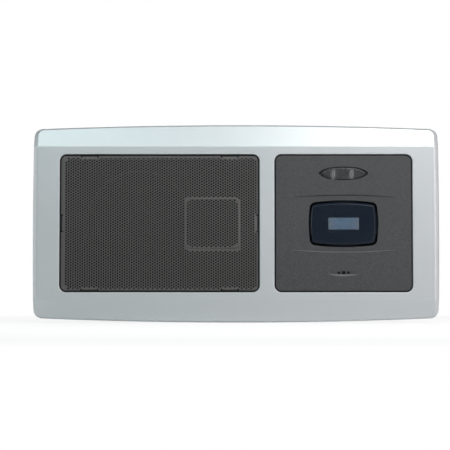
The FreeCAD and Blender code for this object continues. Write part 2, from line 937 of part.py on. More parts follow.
def make_terminal_screws():
    seat = board_back + terminal_height - terminal_well
    head_y = seat + clamp_thickness
    screws = []
    for x in terminal_places():
        plate = slab(x, -terminal_drop, terminal_pitch - 2 * terminal_wall, clamp_depth, seat, head_y)
        head = prism(x, -terminal_drop, head_diameter, head_y, head_y + head_height, 6)
        screws.append(plate.fuse(head).removeSplitter())
    return Part.makeCompound(screws)


def make_amplifier_chip():
    z = board_height / 4
    return slab(panel_x - board_width / 5, z, chip_size, chip_size, board_back, board_back + chip_thickness)


def make_smoothing_cans():
    cans = []
    for side in (-1, 1):
        x = panel_x + board_width / 5 + side * can_diameter * 0.6
        cans.append(prism(x, board_height / 4, can_diameter, board_back, board_back + can_height, small_facets))
    return Part.makeCompound(cans)


def make_microphone():
    return prism(panel_x, mic_z, capsule_diameter, board_y - capsule_length, board_y, small_facets)


def make_microphone_boot():
    outer = capsule_diameter / 2 + boot_wall
    boot = prism(panel_x, mic_z, 2 * outer, panel_back, board_y, small_facets)
    mouth = mic_hole_spacing + mic_side_hole_diameter
    cuts = [
        prism(panel_x, mic_z, capsule_diameter, board_y - capsule_length, board_y, small_facets),
        slab(panel_x, mic_z, 2 * mouth, mouth, panel_back, board_y),
    ]
    return boot.cut(cuts).removeSplitter()


# Rear housing

def make_rear_housing():
    inset = rim_wall + flange_gap
    flange = bowed_slab(
        0, 0, face_width - 2 * inset, face_height - 2 * inset,
        end_drop, side_bow, corner_radius - rim_wall, flange_y, rim_y,
    )
    left = -tub_width / 2
    deep_x = (left + bar_x) / 2
    deep_width = bar_x - left
    shallow = slab(0, 0, tub_width, tub_height, flange_y, board_chamber + tub_wall, tub_radius)
    deep = slab(deep_x, 0, deep_width, tub_height, flange_y, speaker_chamber + tub_wall, tub_radius)
    hollows = [
        slab(
            0, 0, tub_width - 2 * tub_wall, tub_height - 2 * tub_wall, flange_y, board_chamber,
            tub_radius - tub_wall,
        ),
        slab(
            deep_x, 0, deep_width - 2 * tub_wall, tub_height - 2 * tub_wall, flange_y, speaker_chamber,
            tub_radius - tub_wall,
        ),
    ]
    cuts = [slab(
        panel_x, -terminal_drop, terminal_width() + 2 * terminal_window_gap,
        terminal_depth + 2 * terminal_window_gap, board_chamber, board_chamber + tub_wall,
    )]
    for x, z in housing_screw_places():
        cuts.append(prism(x, z, screw_hole_diameter, flange_y, rim_y, small_facets))
    for x in lock_places():
        slot = bracket_sheet + hook_lip + hook_lift
        slot_top = hook_height + bracket_sheet + hook_clearance
        cuts.append(slab(x, slot_top - slot / 2, hook_width + 2 * notch_clearance, slot, flange_y, rim_y))
        notch_top = lock_seat_z(x) + lock_screw_length + notch_clearance
        notch_low = -face_height / 2
        cuts.append(slab(
            x, (notch_top + notch_low) / 2, lip_width + 2 * notch_clearance, notch_top - notch_low,
            flange_y, rim_y,
        ))
    return flange.fuse([shallow, deep]).cut(hollows + cuts).removeSplitter()


def make_housing_screws():
    """Four screws whose heads bear on the housing's flange."""
    screws = []
    for x, z in housing_screw_places():
        head = prism(x, z, head_diameter, rim_y, rim_y + head_height, 6)
        shank = prism(x, z, screw_diameter, rim_y - screw_length + head_height, rim_y, small_facets)
        screws.append(head.fuse(shank).removeSplitter())
    return Part.makeCompound(screws)


# Wall side

def wall_outline(inset, front, back, radius=0.0):
    return bowed_slab(
        0, 0, face_width - 2 * inset, face_height - 2 * inset, end_drop, side_bow, radius, front, back,
    )


def make_wall_gasket():
    hole = wall_outline(gasket_inset + gasket_width, rim_y, 0)
    return wall_outline(gasket_inset, rim_y, 0, corner_radius - gasket_inset).cut(hole)


def hook(x):
    """A tongue that stands out of the plate and turns up in front of the housing's flange."""
    leg_front = flange_y - hook_clearance - bracket_sheet
    leg = slab(x, hook_height + bracket_sheet / 2, hook_width, bracket_sheet, leg_front, 0)
    lip = slab(
        x, hook_height + (bracket_sheet + hook_lip) / 2, hook_width, bracket_sheet + hook_lip,
        leg_front, leg_front + bracket_sheet,
    )
    return leg.fuse(lip)


def lock_lip(x):
    """A lip turned forward along the plate's bottom edge, tapped for the lock screw."""
    low = lip_outer_z(x)
    lip = slab(x, low + bracket_sheet / 2, lip_width, bracket_sheet, -bracket_sheet - lip_depth, 0)
    bore = lock_screw_diameter + 2 * pilot_clearance
    return lip.cut(upright_prism(x, lock_y, bore, low, low + bracket_sheet, small_facets))


def make_mounting_frame():
    plate = wall_outline(bracket_inset, -bracket_sheet, 0)
    cuts = [slab(
        0, 0, tub_width + 2 * bracket_window_gap, tub_height + 2 * bracket_window_gap, -bracket_sheet, 0,
    )]
    for i in (-1, 1):
        for j in (-1, 1):
            cuts.append(post(
                i * wall_screw_span_x / 2, j * wall_screw_span_z / 2, wall_screw_diameter, -bracket_sheet, 0,
            ))
    head_room = head_diameter + 2 * head_clearance
    for x, z in housing_screw_places():
        cuts.append(slab(x, z, head_room, head_room, -bracket_sheet, 0))
    turned_parts = []
    for x in lock_places():
        turned_parts.append(hook(x))
        turned_parts.append(lock_lip(x))
    return plate.cut(cuts).fuse(turned_parts).removeSplitter()


def make_lock_screws():
    screws = []
    for x in lock_places():
        seat = lock_seat_z(x)
        head = upright_prism(x, lock_y, lock_head_diameter, seat - lock_head_height, seat, small_facets)
        shank = upright_prism(x, lock_y, lock_screw_diameter, seat, seat + lock_screw_length, small_facets)
        screws.append(head.fuse(shank).removeSplitter())
    return Part.makeCompound(screws)


os.makedirs("parts", exist_ok=True)
save("front_frame", make_front_frame())
save("speaker_grille", make_speaker_grille())
save("speaker_baffle", make_speaker_baffle())
save("speaker_basket", make_speaker_basket())
save("speaker_diaphragm", make_speaker_diaphragm())
save("speaker_voice_coil", make_voice_coil())
save("speaker_magnet_pot", make_magnet_pot())
save("speaker_magnet", make_speaker_magnet())
save("speaker_pole_plate", make_pole_plate())
save("control_panel", make_control_panel())
save("status_lens", make_status_lens())
save("status_lamps", make_status_lamps())
save("call_button", make_call_button())
save("button_window", make_button_window())
save("button_lamp", make_button_lamp())
save("button_return_pad", make_return_pad())
save("contact_pills", make_contact_pills())
save("circuit_board", make_circuit_board())
save("terminal_block", make_terminal_block())
save("terminal_screws", make_terminal_screws())
save("amplifier_chip", make_amplifier_chip())
save("smoothing_cans", make_smoothing_cans())
save("microphone", make_microphone())
save("microphone_boot", make_microphone_boot())
save("rear_housing", make_rear_housing())
save("housing_screws", make_housing_screws())
save("mounting_frame", make_mounting_frame())
save("wall_gasket", make_wall_gasket())
save("lock_screws", make_lock_screws())
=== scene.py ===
"""Looks of a wall-mounted door intercom station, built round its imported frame.

Sizes are in millimetres, in the frame's own axes: X across the face, Z up, and the face looks along -Y.
A piece is shaped in millimetres and turned into metres when it is finished.
"""

import logging
import math
from collections.abc import Callable, Iterable, Sequence
from dataclasses import dataclass, replace
from enum import Enum

import bmesh
import bpy
from mathutils import Matrix, Vector


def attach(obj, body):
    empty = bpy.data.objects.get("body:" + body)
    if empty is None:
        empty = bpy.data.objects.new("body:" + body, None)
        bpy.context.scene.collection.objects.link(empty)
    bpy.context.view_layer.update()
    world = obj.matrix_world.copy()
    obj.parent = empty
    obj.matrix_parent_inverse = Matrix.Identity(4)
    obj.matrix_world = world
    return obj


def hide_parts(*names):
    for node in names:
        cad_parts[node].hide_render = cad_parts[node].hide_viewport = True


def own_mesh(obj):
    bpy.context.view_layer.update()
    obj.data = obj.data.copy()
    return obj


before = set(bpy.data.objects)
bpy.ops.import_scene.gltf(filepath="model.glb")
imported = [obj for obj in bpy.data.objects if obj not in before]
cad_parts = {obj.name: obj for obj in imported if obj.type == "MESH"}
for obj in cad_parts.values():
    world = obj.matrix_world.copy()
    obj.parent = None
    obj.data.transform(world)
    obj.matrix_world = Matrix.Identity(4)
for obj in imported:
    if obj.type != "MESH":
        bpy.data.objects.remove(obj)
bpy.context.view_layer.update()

log = logging.getLogger("station")

MM = 0.001
NEAR = 1e-4
FACE_ON = Matrix.Rotation(math.pi / 2, 4, "X")
WHITE = (1.0, 1.0, 1.0)
PANEL_X = 66.6
GRILLE_X = -47.4

BMVert, BMEdge, BMFace = bmesh.types.BMVert, bmesh.types.BMEdge, bmesh.types.BMFace
Pair = tuple[float, float]
Colour = tuple[float, float, float]
Height = float | Callable[[float, float], float]
Edges = list[BMEdge]


class Body(Enum):
    """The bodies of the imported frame."""

    STATION = "station"
    BUTTON = "call_button"


class Side(Enum):
    """The side of the grille that a tab leaves from."""

    TOP = (0.0, 1.0)
    BOTTOM = (0.0, -1.0)
    LEFT = (-1.0, 0.0)
    RIGHT = (1.0, 0.0)

    def inward(self) -> Vector:
        """The way from the side to the grille's middle."""
        return Vector((-self.value[0], 0, -self.value[1]))

    def across(self) -> Vector:
        """The way along the side."""
        return Vector((abs(self.value[1]), 0, abs(self.value[0])))


def seen(red: float, green: float, blue: float) -> Colour:
    """Turns a colour as it is seen, from 0 to 255, into the linear colour that a shader takes."""
    return tuple(((c / 255 + 0.055) / 1.055) ** 2.4 if c > 10 else c / 3294.6 for c in (red, green, blue))


def only(items: Iterable, kind: type) -> list:
    """The items of one kind."""
    return [item for item in items if isinstance(item, kind)]


def placed(name: str, data: bpy.types.ID) -> bpy.types.Object:
    """Makes an object and puts it in the scene."""
    made = bpy.data.objects.new(name, data)
    bpy.context.scene.collection.objects.link(made)
    return made


def settled(name: str, bm: bmesh.types.BMesh) -> bpy.types.Object:
    """Turns a worked mesh into an object of the scene.

    Args:
        name: The object's name.
        bm: The worked mesh, which is used up.

    Returns:
        The object.
    """
    mesh = bpy.data.meshes.new(name)
    bm.to_mesh(mesh)
    bm.free()
    return placed(name, mesh)


# Shader wiring


def maths(operation: str, swapped: bool = False) -> Callable[..., "Wire"]:
    """Makes one of Wire's methods, which adds a Math node.

    Args:
        operation: The node's operation.
        swapped: Whether the wire is its second value.

    Returns:
        The method.
    """

    def method(self: "Wire", other: "Wire | float" = 0.0) -> "Wire":
        """Adds the node."""
        first, second = (other, self) if swapped else (self, other)
        return self.bench.node("Math", {0: first, 1: second}, operation=operation)

    return method


class Wire:
    """A shader socket that takes part in arithmetic. Each operation adds its Math node."""

    __add__, __radd__ = maths("ADD"), maths("ADD", True)
    __sub__, __rsub__ = maths("SUBTRACT"), maths("SUBTRACT", True)
    __mul__ = maths("MULTIPLY")
    at_most, at_least, size = maths("MINIMUM"), maths("MAXIMUM"), maths("ABSOLUTE")

    def __init__(self, bench: "Bench", socket: bpy.types.NodeSocket) -> None:
        """Keeps the socket and the bench that it belongs to."""
        self.bench = bench
        self.socket = socket

    def clipped(self) -> "Wire":
        """The value, held between 0 and 1."""
        return self.at_least(0.0).at_most(1.0)


class Bench:
    """The node tree of one material or world."""

    def __init__(self, owner: "bpy.types.Material | bpy.types.World") -> None:
        """Clears the owner's tree for new nodes."""
        owner.use_nodes = True
        self.tree = owner.node_tree
        self.tree.nodes.clear()

    def node(self, kind: str, sockets: dict | None = None, out: int | str = 0, **settings: str) -> Wire | None:
        """Adds a node.

        Args:
            kind: The node's type, without the "ShaderNode" that it starts with.
            sockets: A value or a wire for each input socket, by name or number.
            out: The output socket that is returned.
            **settings: The node's settings, which are set before its sockets.

        Returns:
            The output as a wire, or None from a node that has no output.
        """
        made = self.tree.nodes.new("ShaderNode" + kind)
        for key, value in settings.items():
            setattr(made, key, value)
        for key, value in (sockets or {}).items():
            socket = made.inputs[key]
            if isinstance(value, Wire):
                self.tree.links.new(value.socket, socket)
            else:
                socket.default_value = (*value, 1.0) if socket.type == "RGBA" else value
        return Wire(self, made.outputs[out]) if made.outputs else None

    def place(self) -> Wire:
        """The place on the piece, in metres."""
        return self.node("TexCoord", out="Object")

    def axis(self, place: Wire, name: str) -> Wire:
        """The X, Y or Z of a place."""
        return self.node("SeparateXYZ", {"Vector": place}, name)

    def scaled(self, place: Wire, x: float = 1.0, z: float = 1.0) -> Wire:
        """A place with its X and Z scaled."""
        return self.node("VectorMath", {0: place, 1: (x, 1.0, z)}, operation="MULTIPLY")

    def noise(self, place: Wire, feature: float, detail: float = 3.0) -> Wire:
        """Noise from 0 to 1 whose features are of one size.

        Args:
            place: Where on the piece.
            feature: The features' size in millimetres.
            detail: How many finer layers are added.

        Returns:
            The noise.
        """
        sockets = {"Vector": place, "Scale": 1.0 / (feature * MM), "Detail": detail, "Roughness": 0.55}
        return self.node("TexNoise", sockets)

    def shaded(self, colour: "Colour | Wire", tone: Wire) -> Wire:
        """A colour made lighter or darker by a tone round 1."""
        return self.node("VectorMath", {0: colour, 3: tone}, operation="SCALE")

    def mixed(self, share: Wire, first: "Colour | Wire", second: "Colour | Wire") -> Wire:
        """Two colours mixed."""
        return self.node("Mix", {0: share, 6: first, 7: second}, 2, data_type="RGBA")

    def bump(self, height: Wire, depth: float) -> Wire:
        """A normal from a height, of which 1 stands for a depth in millimetres."""
        return self.node("Bump", {"Height": height, "Distance": depth * MM, "Strength": 1.0})


# Finishes


@dataclass(frozen=True)
class Finish:
    """A finish with fine grain and broad unevenness, for moulded plastics."""

    name: str
    colour: Colour
    roughness: float = 0.5
    metallic: float = 0.0
    specular: float = 0.3
    grain: float = 0.5
    grain_depth: float = 0.02
    grain_tone: float = 0.12
    uneven: float = 22.0
    uneven_tone: float = 0.06
    uneven_roughness: float = 0.12
    glow: float = 0.0

    def material(self) -> bpy.types.Material:
        """The material, made once."""
        found = bpy.data.materials.get(self.name)
        if found is None:
            found = bpy.data.materials.new(self.name)
            bench = Bench(found)
            bench.node("OutputMaterial", {"Surface": self.shader(bench)})
        return found

    def constants(self) -> dict:
        """What is the same all over the surface."""
        values = {"Metallic": self.metallic, "Specular IOR Level": self.specular}
        if self.glow:
            values |= {"Emission Color": self.colour, "Emission Strength": self.glow}
        return values

    def colours(self, bench: Bench, place: Wire) -> "Colour | Wire":
        """The colour before grain and unevenness, here one colour."""
        return self.colour

    def relief(self, bench: Bench, place: Wire, grain: Wire) -> Wire:
        """The height of the surface from 0 to 1, here its grain."""
        return grain

    def shader(self, bench: Bench) -> Wire:
        """The finish's shader.

        Args:
            bench: The material's bench.

        Returns:
            The shader.
        """
        place = bench.place()
        grain = bench.noise(place, self.grain)
        broad = bench.noise(place, self.uneven, 2.0)
        tone = 1.0 + (grain - 0.5) * self.grain_tone + (broad - 0.5) * self.uneven_tone
        return bench.node("BsdfPrincipled", {
            "Base Color": bench.shaded(self.colours(bench, place), tone),
            "Roughness": self.roughness + (broad - 0.5) * self.uneven_roughness,
            "Normal": bench.bump(self.relief(bench, place, grain), self.grain_depth),
        } | self.constants())


@dataclass(frozen=True)
class FlakePaint(Finish):
    """Silver paint sprayed on from the front: it stops a little way into the windows, where the moulding is left
    unpainted. Its near-black there is partly painted shade, for the shade in the windows' gaps and on the ledge.
    """

    metallic: float = 0.5
    roughness: float = 0.42
    grain: float = 0.28
    grain_depth: float = 0.006
    grain_tone: float = 0.10
    uneven: float = 45.0
    uneven_tone: float = 0.03
    # unpainted moulding inside the windows, dark enough to stand in for the shade there too: partly painted shade
    unpainted_and_shade: Colour = (0.012, 0.012, 0.013)
    spray_end: float = -13.2
    inner_x: float = 119.0
    inner_z: float = 47.0
    gain: float = 4000.0

    def painted(self, bench: Bench, place: Wire) -> Wire:
        """1 where the paint is, 0 on the unpainted moulding inside the walls, which is dark partly as painted shade.

        Args:
            bench: The material's bench.
            place: Where on the piece.

        Returns:
            The share of paint.
        """
        front = (self.spray_end * MM - bench.axis(place, "Y")) * self.gain
        beside = (bench.axis(place, "X").size() - self.inner_x * MM) * self.gain
        above = (bench.axis(place, "Z").size() - self.inner_z * MM) * self.gain
        return front.at_least(beside).at_least(above).clipped()

    def colours(self, bench: Bench, place: Wire) -> "Colour | Wire":
        """Silver where the paint is; near-black inside the windows, as unpainted moulding and painted shade."""
        return bench.mixed(self.painted(bench, place), self.unpainted_and_shade, self.colour)

    def shader(self, bench: Bench) -> Wire:
        """The paint's shader, whose metal ends with the paint.

        Args:
            bench: The material's bench.

        Returns:
            The shader.
        """
        surface = super().shader(bench)
        metal = self.painted(bench, bench.place()) * self.metallic
        bench.tree.links.new(metal.socket, surface.socket.node.inputs["Metallic"])
        return surface


@dataclass(frozen=True)
class PowderCoat(Finish):
    """Satin powder coat on sheet steel, with its slight orange peel."""

    peel: float = 1.1

    def relief(self, bench: Bench, place: Wire, grain: Wire) -> Wire:
        """Broad soft pits under the fine grain."""
        return grain * 0.3 + bench.noise(place, self.peel, 1.0) * 0.7


@dataclass(frozen=True)
class BrushedMetal(Finish):
    """Rolled or plated sheet metal, whose grain runs along X."""

    metallic: float = 1.0
    roughness: float = 0.34
    stretch: float = 14.0

    def relief(self, bench: Bench, place: Wire, grain: Wire) -> Wire:
        """Fine lines along X."""
        return bench.noise(bench.scaled(place, x=1 / self.stretch), self.grain, 2.0)


@dataclass(frozen=True)
class WoundWire(Finish):
    """Enamelled wire, one turn beside the other along Y."""

    metallic: float = 0.9
    roughness: float = 0.3
    wire: float = 0.3
    wave: float = 3.1

    def relief(self, bench: Bench, place: Wire, grain: Wire) -> Wire:
        """The round backs of the turns."""
        sockets = {"Vector": place, "Scale": 1.0 / (self.wire * MM) / (2 * math.pi) * self.wave, "Distortion": 0.0}
        return bench.node("TexWave", sockets, 1, bands_direction="Y", wave_profile="SIN")


@dataclass(frozen=True)
class PressedPaper(Finish):
    """Pulp paper with short fibres, for the speaker's cone."""

    fibre: float = 0.35
    press: float = 0.2

    def relief(self, bench: Bench, place: Wire, grain: Wire) -> Wire:
        """Short ridges that cross each other."""
        across, upright = bench.scaled(place, x=self.press), bench.scaled(place, z=self.press)
        return bench.noise(across, self.fibre, 2.0).at_least(bench.noise(upright, self.fibre, 2.0))


@dataclass(frozen=True)
class GlossCap(Finish):
    """Hard glossy plastic with hair-fine polish marks."""

    roughness: float = 0.26
    specular: float = 0.2
    grain_depth: float = 0.001


@dataclass(frozen=True)
class GrainWithPaintedLitSlopes(Finish):
    """Coarse moulded grain, with painted light on the slopes of the hollows that face up: those slopes are painted
    lighter.
    """

    # painted light: the lighter colour that stands in for the light caught by up-facing slopes
    painted_lit_slope: Colour = (0.092, 0.092, 0.094)
    inside: float = 40.0
    gain: float = 2000.0
    flat: Pair = (0.2, 5.0)
    upright: Pair = (0.9, 10.0)

    def colours(self, bench: Bench, place: Wire) -> "Colour | Wire":
        """Mixes a lighter colour in where a slope faces up, as painted light, and not on upright walls or the panel's
        edge.

        Args:
            bench: The material's bench.
            place: Where on the piece.

        Returns:
            The colour.
        """
        up = bench.axis(bench.node("TexCoord", out="Normal"), "Z")
        within = (self.inside * MM - (bench.axis(place, "X") - PANEL_X * MM).size()) * self.gain
        within = within.at_most((self.inside * MM - bench.axis(place, "Z").size()) * self.gain)
        # painted light share: high where a slope faces up, none on flats, upright walls or near the panel's edge
        slope = ((up - self.flat[0]) * self.flat[1]).at_most((self.upright[0] - up) * self.upright[1]).at_most(within)
        return bench.mixed(slope.clipped(), self.colour, self.painted_lit_slope)


@dataclass(frozen=True)
class SmokedPlastic(Finish):
    """Smoked clear plastic: dark, glossy, and partly see-through, with painted shade on its side."""

    clear: float = 0.85
    refraction: float = 1.45
    front: float = -13.35
    back: float = -11.5
    margin: float = 0.05
    gains: Pair = (12000.0, 20000.0)
    # painted shade: the near-black of the lens's side, for the shade in its gap
    edge: Colour = (0.004, 0.004, 0.0045)

    def colours(self, bench: Bench, place: Wire) -> "Colour | Wire":
        """Paints shade on the lens's side, from the roll of its edge to its back: near-black there stands in for the
        shade in the gap round the lens.

        Args:
            bench: The material's bench.
            place: Where on the piece.

        Returns:
            The colour.
        """
        deep = bench.axis(place, "Y")
        rolled = ((deep - (self.front + self.margin) * MM) * self.gains[0]).clipped()
        side = ((self.back - self.margin) * MM - deep) * self.gains[1]
        return bench.mixed(rolled * side.clipped(), self.colour, self.edge)

    def constants(self) -> dict:
        """Adds the light that passes through."""
        return super().constants() | {"Transmission Weight": self.clear, "IOR": self.refraction}


@dataclass(frozen=True)
class LitWindow(Finish):
    """A milky window with painted light: its middle is painted bluer, as the glow of the lamp behind it, and it is
    greyer towards its ends.
    """

    # painted glow: the lamp behind the window is not lit, so its light is painted into this colour
    middle: Colour = (0.08, 0.13, 0.2)
    reach: float = 9.6

    def colours(self, bench: Bench, place: Wire) -> "Colour | Wire":
        """Mixes the middle's painted glow into the ends' colour."""
        away = ((bench.axis(place, "X") - PANEL_X * MM) * (1.0 / (self.reach * MM))).size().at_most(1.0)
        return bench.mixed(away * away, self.middle, self.colour)


@dataclass(frozen=True)
class SolderMask(Finish):
    """A circuit board: black mask over copper tracks on a grid."""

    track: Colour = (0.012, 0.018, 0.016)
    pitch: float = 2.54
    track_gain: float = 9.0
    patch: float = 11.0
    patch_level: float = 0.48
    patch_gain: float = 30.0

    def colours(self, bench: Bench, place: Wire) -> "Colour | Wire":
        """Lighter tracks where the copper is under the mask.

        Args:
            bench: The material's bench.
            place: Where on the piece.

        Returns:
            The colour.
        """
        sockets = {"Vector": place, "Scale": 1.0 / (self.pitch * MM), "Randomness": 0.0}
        cells = bench.node("TexVoronoi", sockets, feature="DISTANCE_TO_EDGE")
        track = (1.0 - cells * self.track_gain).at_least(0.0)
        patches = (bench.noise(place, self.patch, 1.0) - self.patch_level) * self.patch_gain
        return bench.mixed(track * patches.clipped(), self.colour, self.track)


SILVER = FlakePaint("silver_paint", seen(184, 187, 189))
GRILLE_COAT = PowderCoat("grille_coat", seen(79, 77, 76), roughness=0.5, grain=0.25, grain_depth=0.01)
PANEL = GrainWithPaintedLitSlopes(
    "panel_plastic", seen(62, 62, 63), roughness=0.55, specular=0.2, grain=1.0, grain_depth=0.1, grain_tone=0.8,
)
BLACK = Finish("black_plastic", seen(30, 30, 31), roughness=0.6, specular=0.2, grain=0.6, grain_depth=0.04)
LENS = SmokedPlastic("smoked_plastic", seen(116, 118, 119), roughness=0.25, specular=0.3, grain_depth=0.001)
LAMP = Finish("lamp_resin", seen(236, 238, 232), roughness=0.35, specular=0.4, grain_depth=0.003, grain_tone=0.03)
LIT_LAMP = replace(LAMP, name="lit_lamp_resin", glow=9.0)
CAP = GlossCap("navy_cap", seen(15, 23, 34))
# the window's middle colour is the painted glow of its lamp
WINDOW = LitWindow(
    "blue_window", seen(80, 88, 98), roughness=0.3, specular=0.2, grain_depth=0.002, grain=1.0, grain_tone=0.8,
    middle=seen(71, 88, 107),
)
STEEL = BrushedMetal("plated_steel", seen(196, 198, 196))
COPPER = WoundWire("coil_wire", seen(196, 120, 70), grain_depth=0.08)
PAPER = PressedPaper("cone_paper", seen(40, 39, 38), roughness=0.8, specular=0.15, grain_depth=0.08, grain_tone=0.3)
MAGNET = Finish("magnet", seen(70, 70, 74), roughness=0.5, metallic=0.5, grain=0.8, grain_depth=0.03)
RUBBER = Finish("black_rubber", seen(30, 30, 31), roughness=0.75, specular=0.2, grain=0.9, grain_depth=0.03)
PAD_RUBBER = Finish("pad_rubber", seen(150, 152, 150), roughness=0.6, specular=0.25, grain=0.7, grain_depth=0.02)
PILL = Finish("carbon_pill", seen(26, 26, 27), roughness=0.7, grain=0.2, grain_depth=0.01, grain_tone=0.4)
BOARD = SolderMask("solder_mask", seen(16, 20, 19), roughness=0.5, specular=0.2, grain_depth=0.004)
TERMINAL = Finish("terminal_plastic", seen(58, 110, 78), roughness=0.45, grain=0.5, grain_depth=0.02)
CHIP = Finish("chip_resin", seen(38, 38, 40), roughness=0.6, grain=0.2, grain_depth=0.02, grain_tone=0.3)
CAN = BrushedMetal("can_metal", seen(170, 172, 176), roughness=0.3, stretch=1.0)


# Shaping


@dataclass(frozen=True)
class Outline:
    """A rounded rectangle in the plane of the face, whose long edges and sides may bow outwards."""

    x: float
    z: float
    width: float
    height: float
    radius: float = 0.0
    end_fall: float = 0.0
    side_bow: float = 0.0
    cuts_x: int = 0
    cuts_z: int = 0
    corner_steps: int = 8
    fall_power: float = 2.0

    def grown(self, by: float, by_z: float | None = None) -> "Outline":
        """The outline grown on every side.

        Args:
            by: How far its sides go out.
            by_z: How far its top and bottom go out, if that differs.

        Returns:
            The new outline.
        """
        rise = by if by_z is None else by_z
        radius = max(self.radius + (by + rise) / 2, 0.02) if self.radius > 0 else 0.0
        return replace(self, width=self.width + 2 * by, height=self.height + 2 * rise, radius=radius)

    def mixed(self, other: "Outline", share: float) -> "Outline":
        """The outline on its way to another one, by a share from 0 to 1."""
        names = ("x", "z", "width", "height", "radius")
        return replace(self, **{n: (1 - share) * getattr(self, n) + share * getattr(other, n) for n in names})

    def away(self, x: float, z: float) -> float:
        """How far a place is outside the outline, below 0 inside it."""
        out_x = abs(x - self.x) - self.width / 2 + self.radius
        out_z = abs(z - self.z) - self.height / 2 + self.radius
        return math.hypot(max(out_x, 0.0), max(out_z, 0.0)) + min(max(out_x, out_z), 0.0) - self.radius


def quarter_round(radius: float, steps: int = 4) -> list[Pair]:
    """Steps of a rounded edge from the front round to the side: how far in each is, and how far back."""
    turns = [math.pi / 2 * i / steps for i in range(steps + 1)]
    return [(radius * (1 - math.sin(turn)), radius * (1 - math.cos(turn))) for turn in turns]


def softened(corners: Sequence[Pair], share: float, steps: int) -> list[Pair]:
    """Rounds the inner corners of a line.

    Args:
        corners: The line's points.
        share: How much of each run next to a corner is used up by the rounding.
        steps: How many facets a rounding has.

    Returns:
        The rounded line's points.
    """
    line = [corners[0]]
    for before, corner, after in zip(corners, corners[1:], corners[2:]):
        middle = Vector(corner)
        start, end = middle.lerp(Vector(before), share), middle.lerp(Vector(after), share)
        for t in (i / steps for i in range(steps + 1)):
            line.append(tuple(start * (1 - t) ** 2 + middle * 2 * t * (1 - t) + end * t ** 2))
    return line + [corners[-1]]


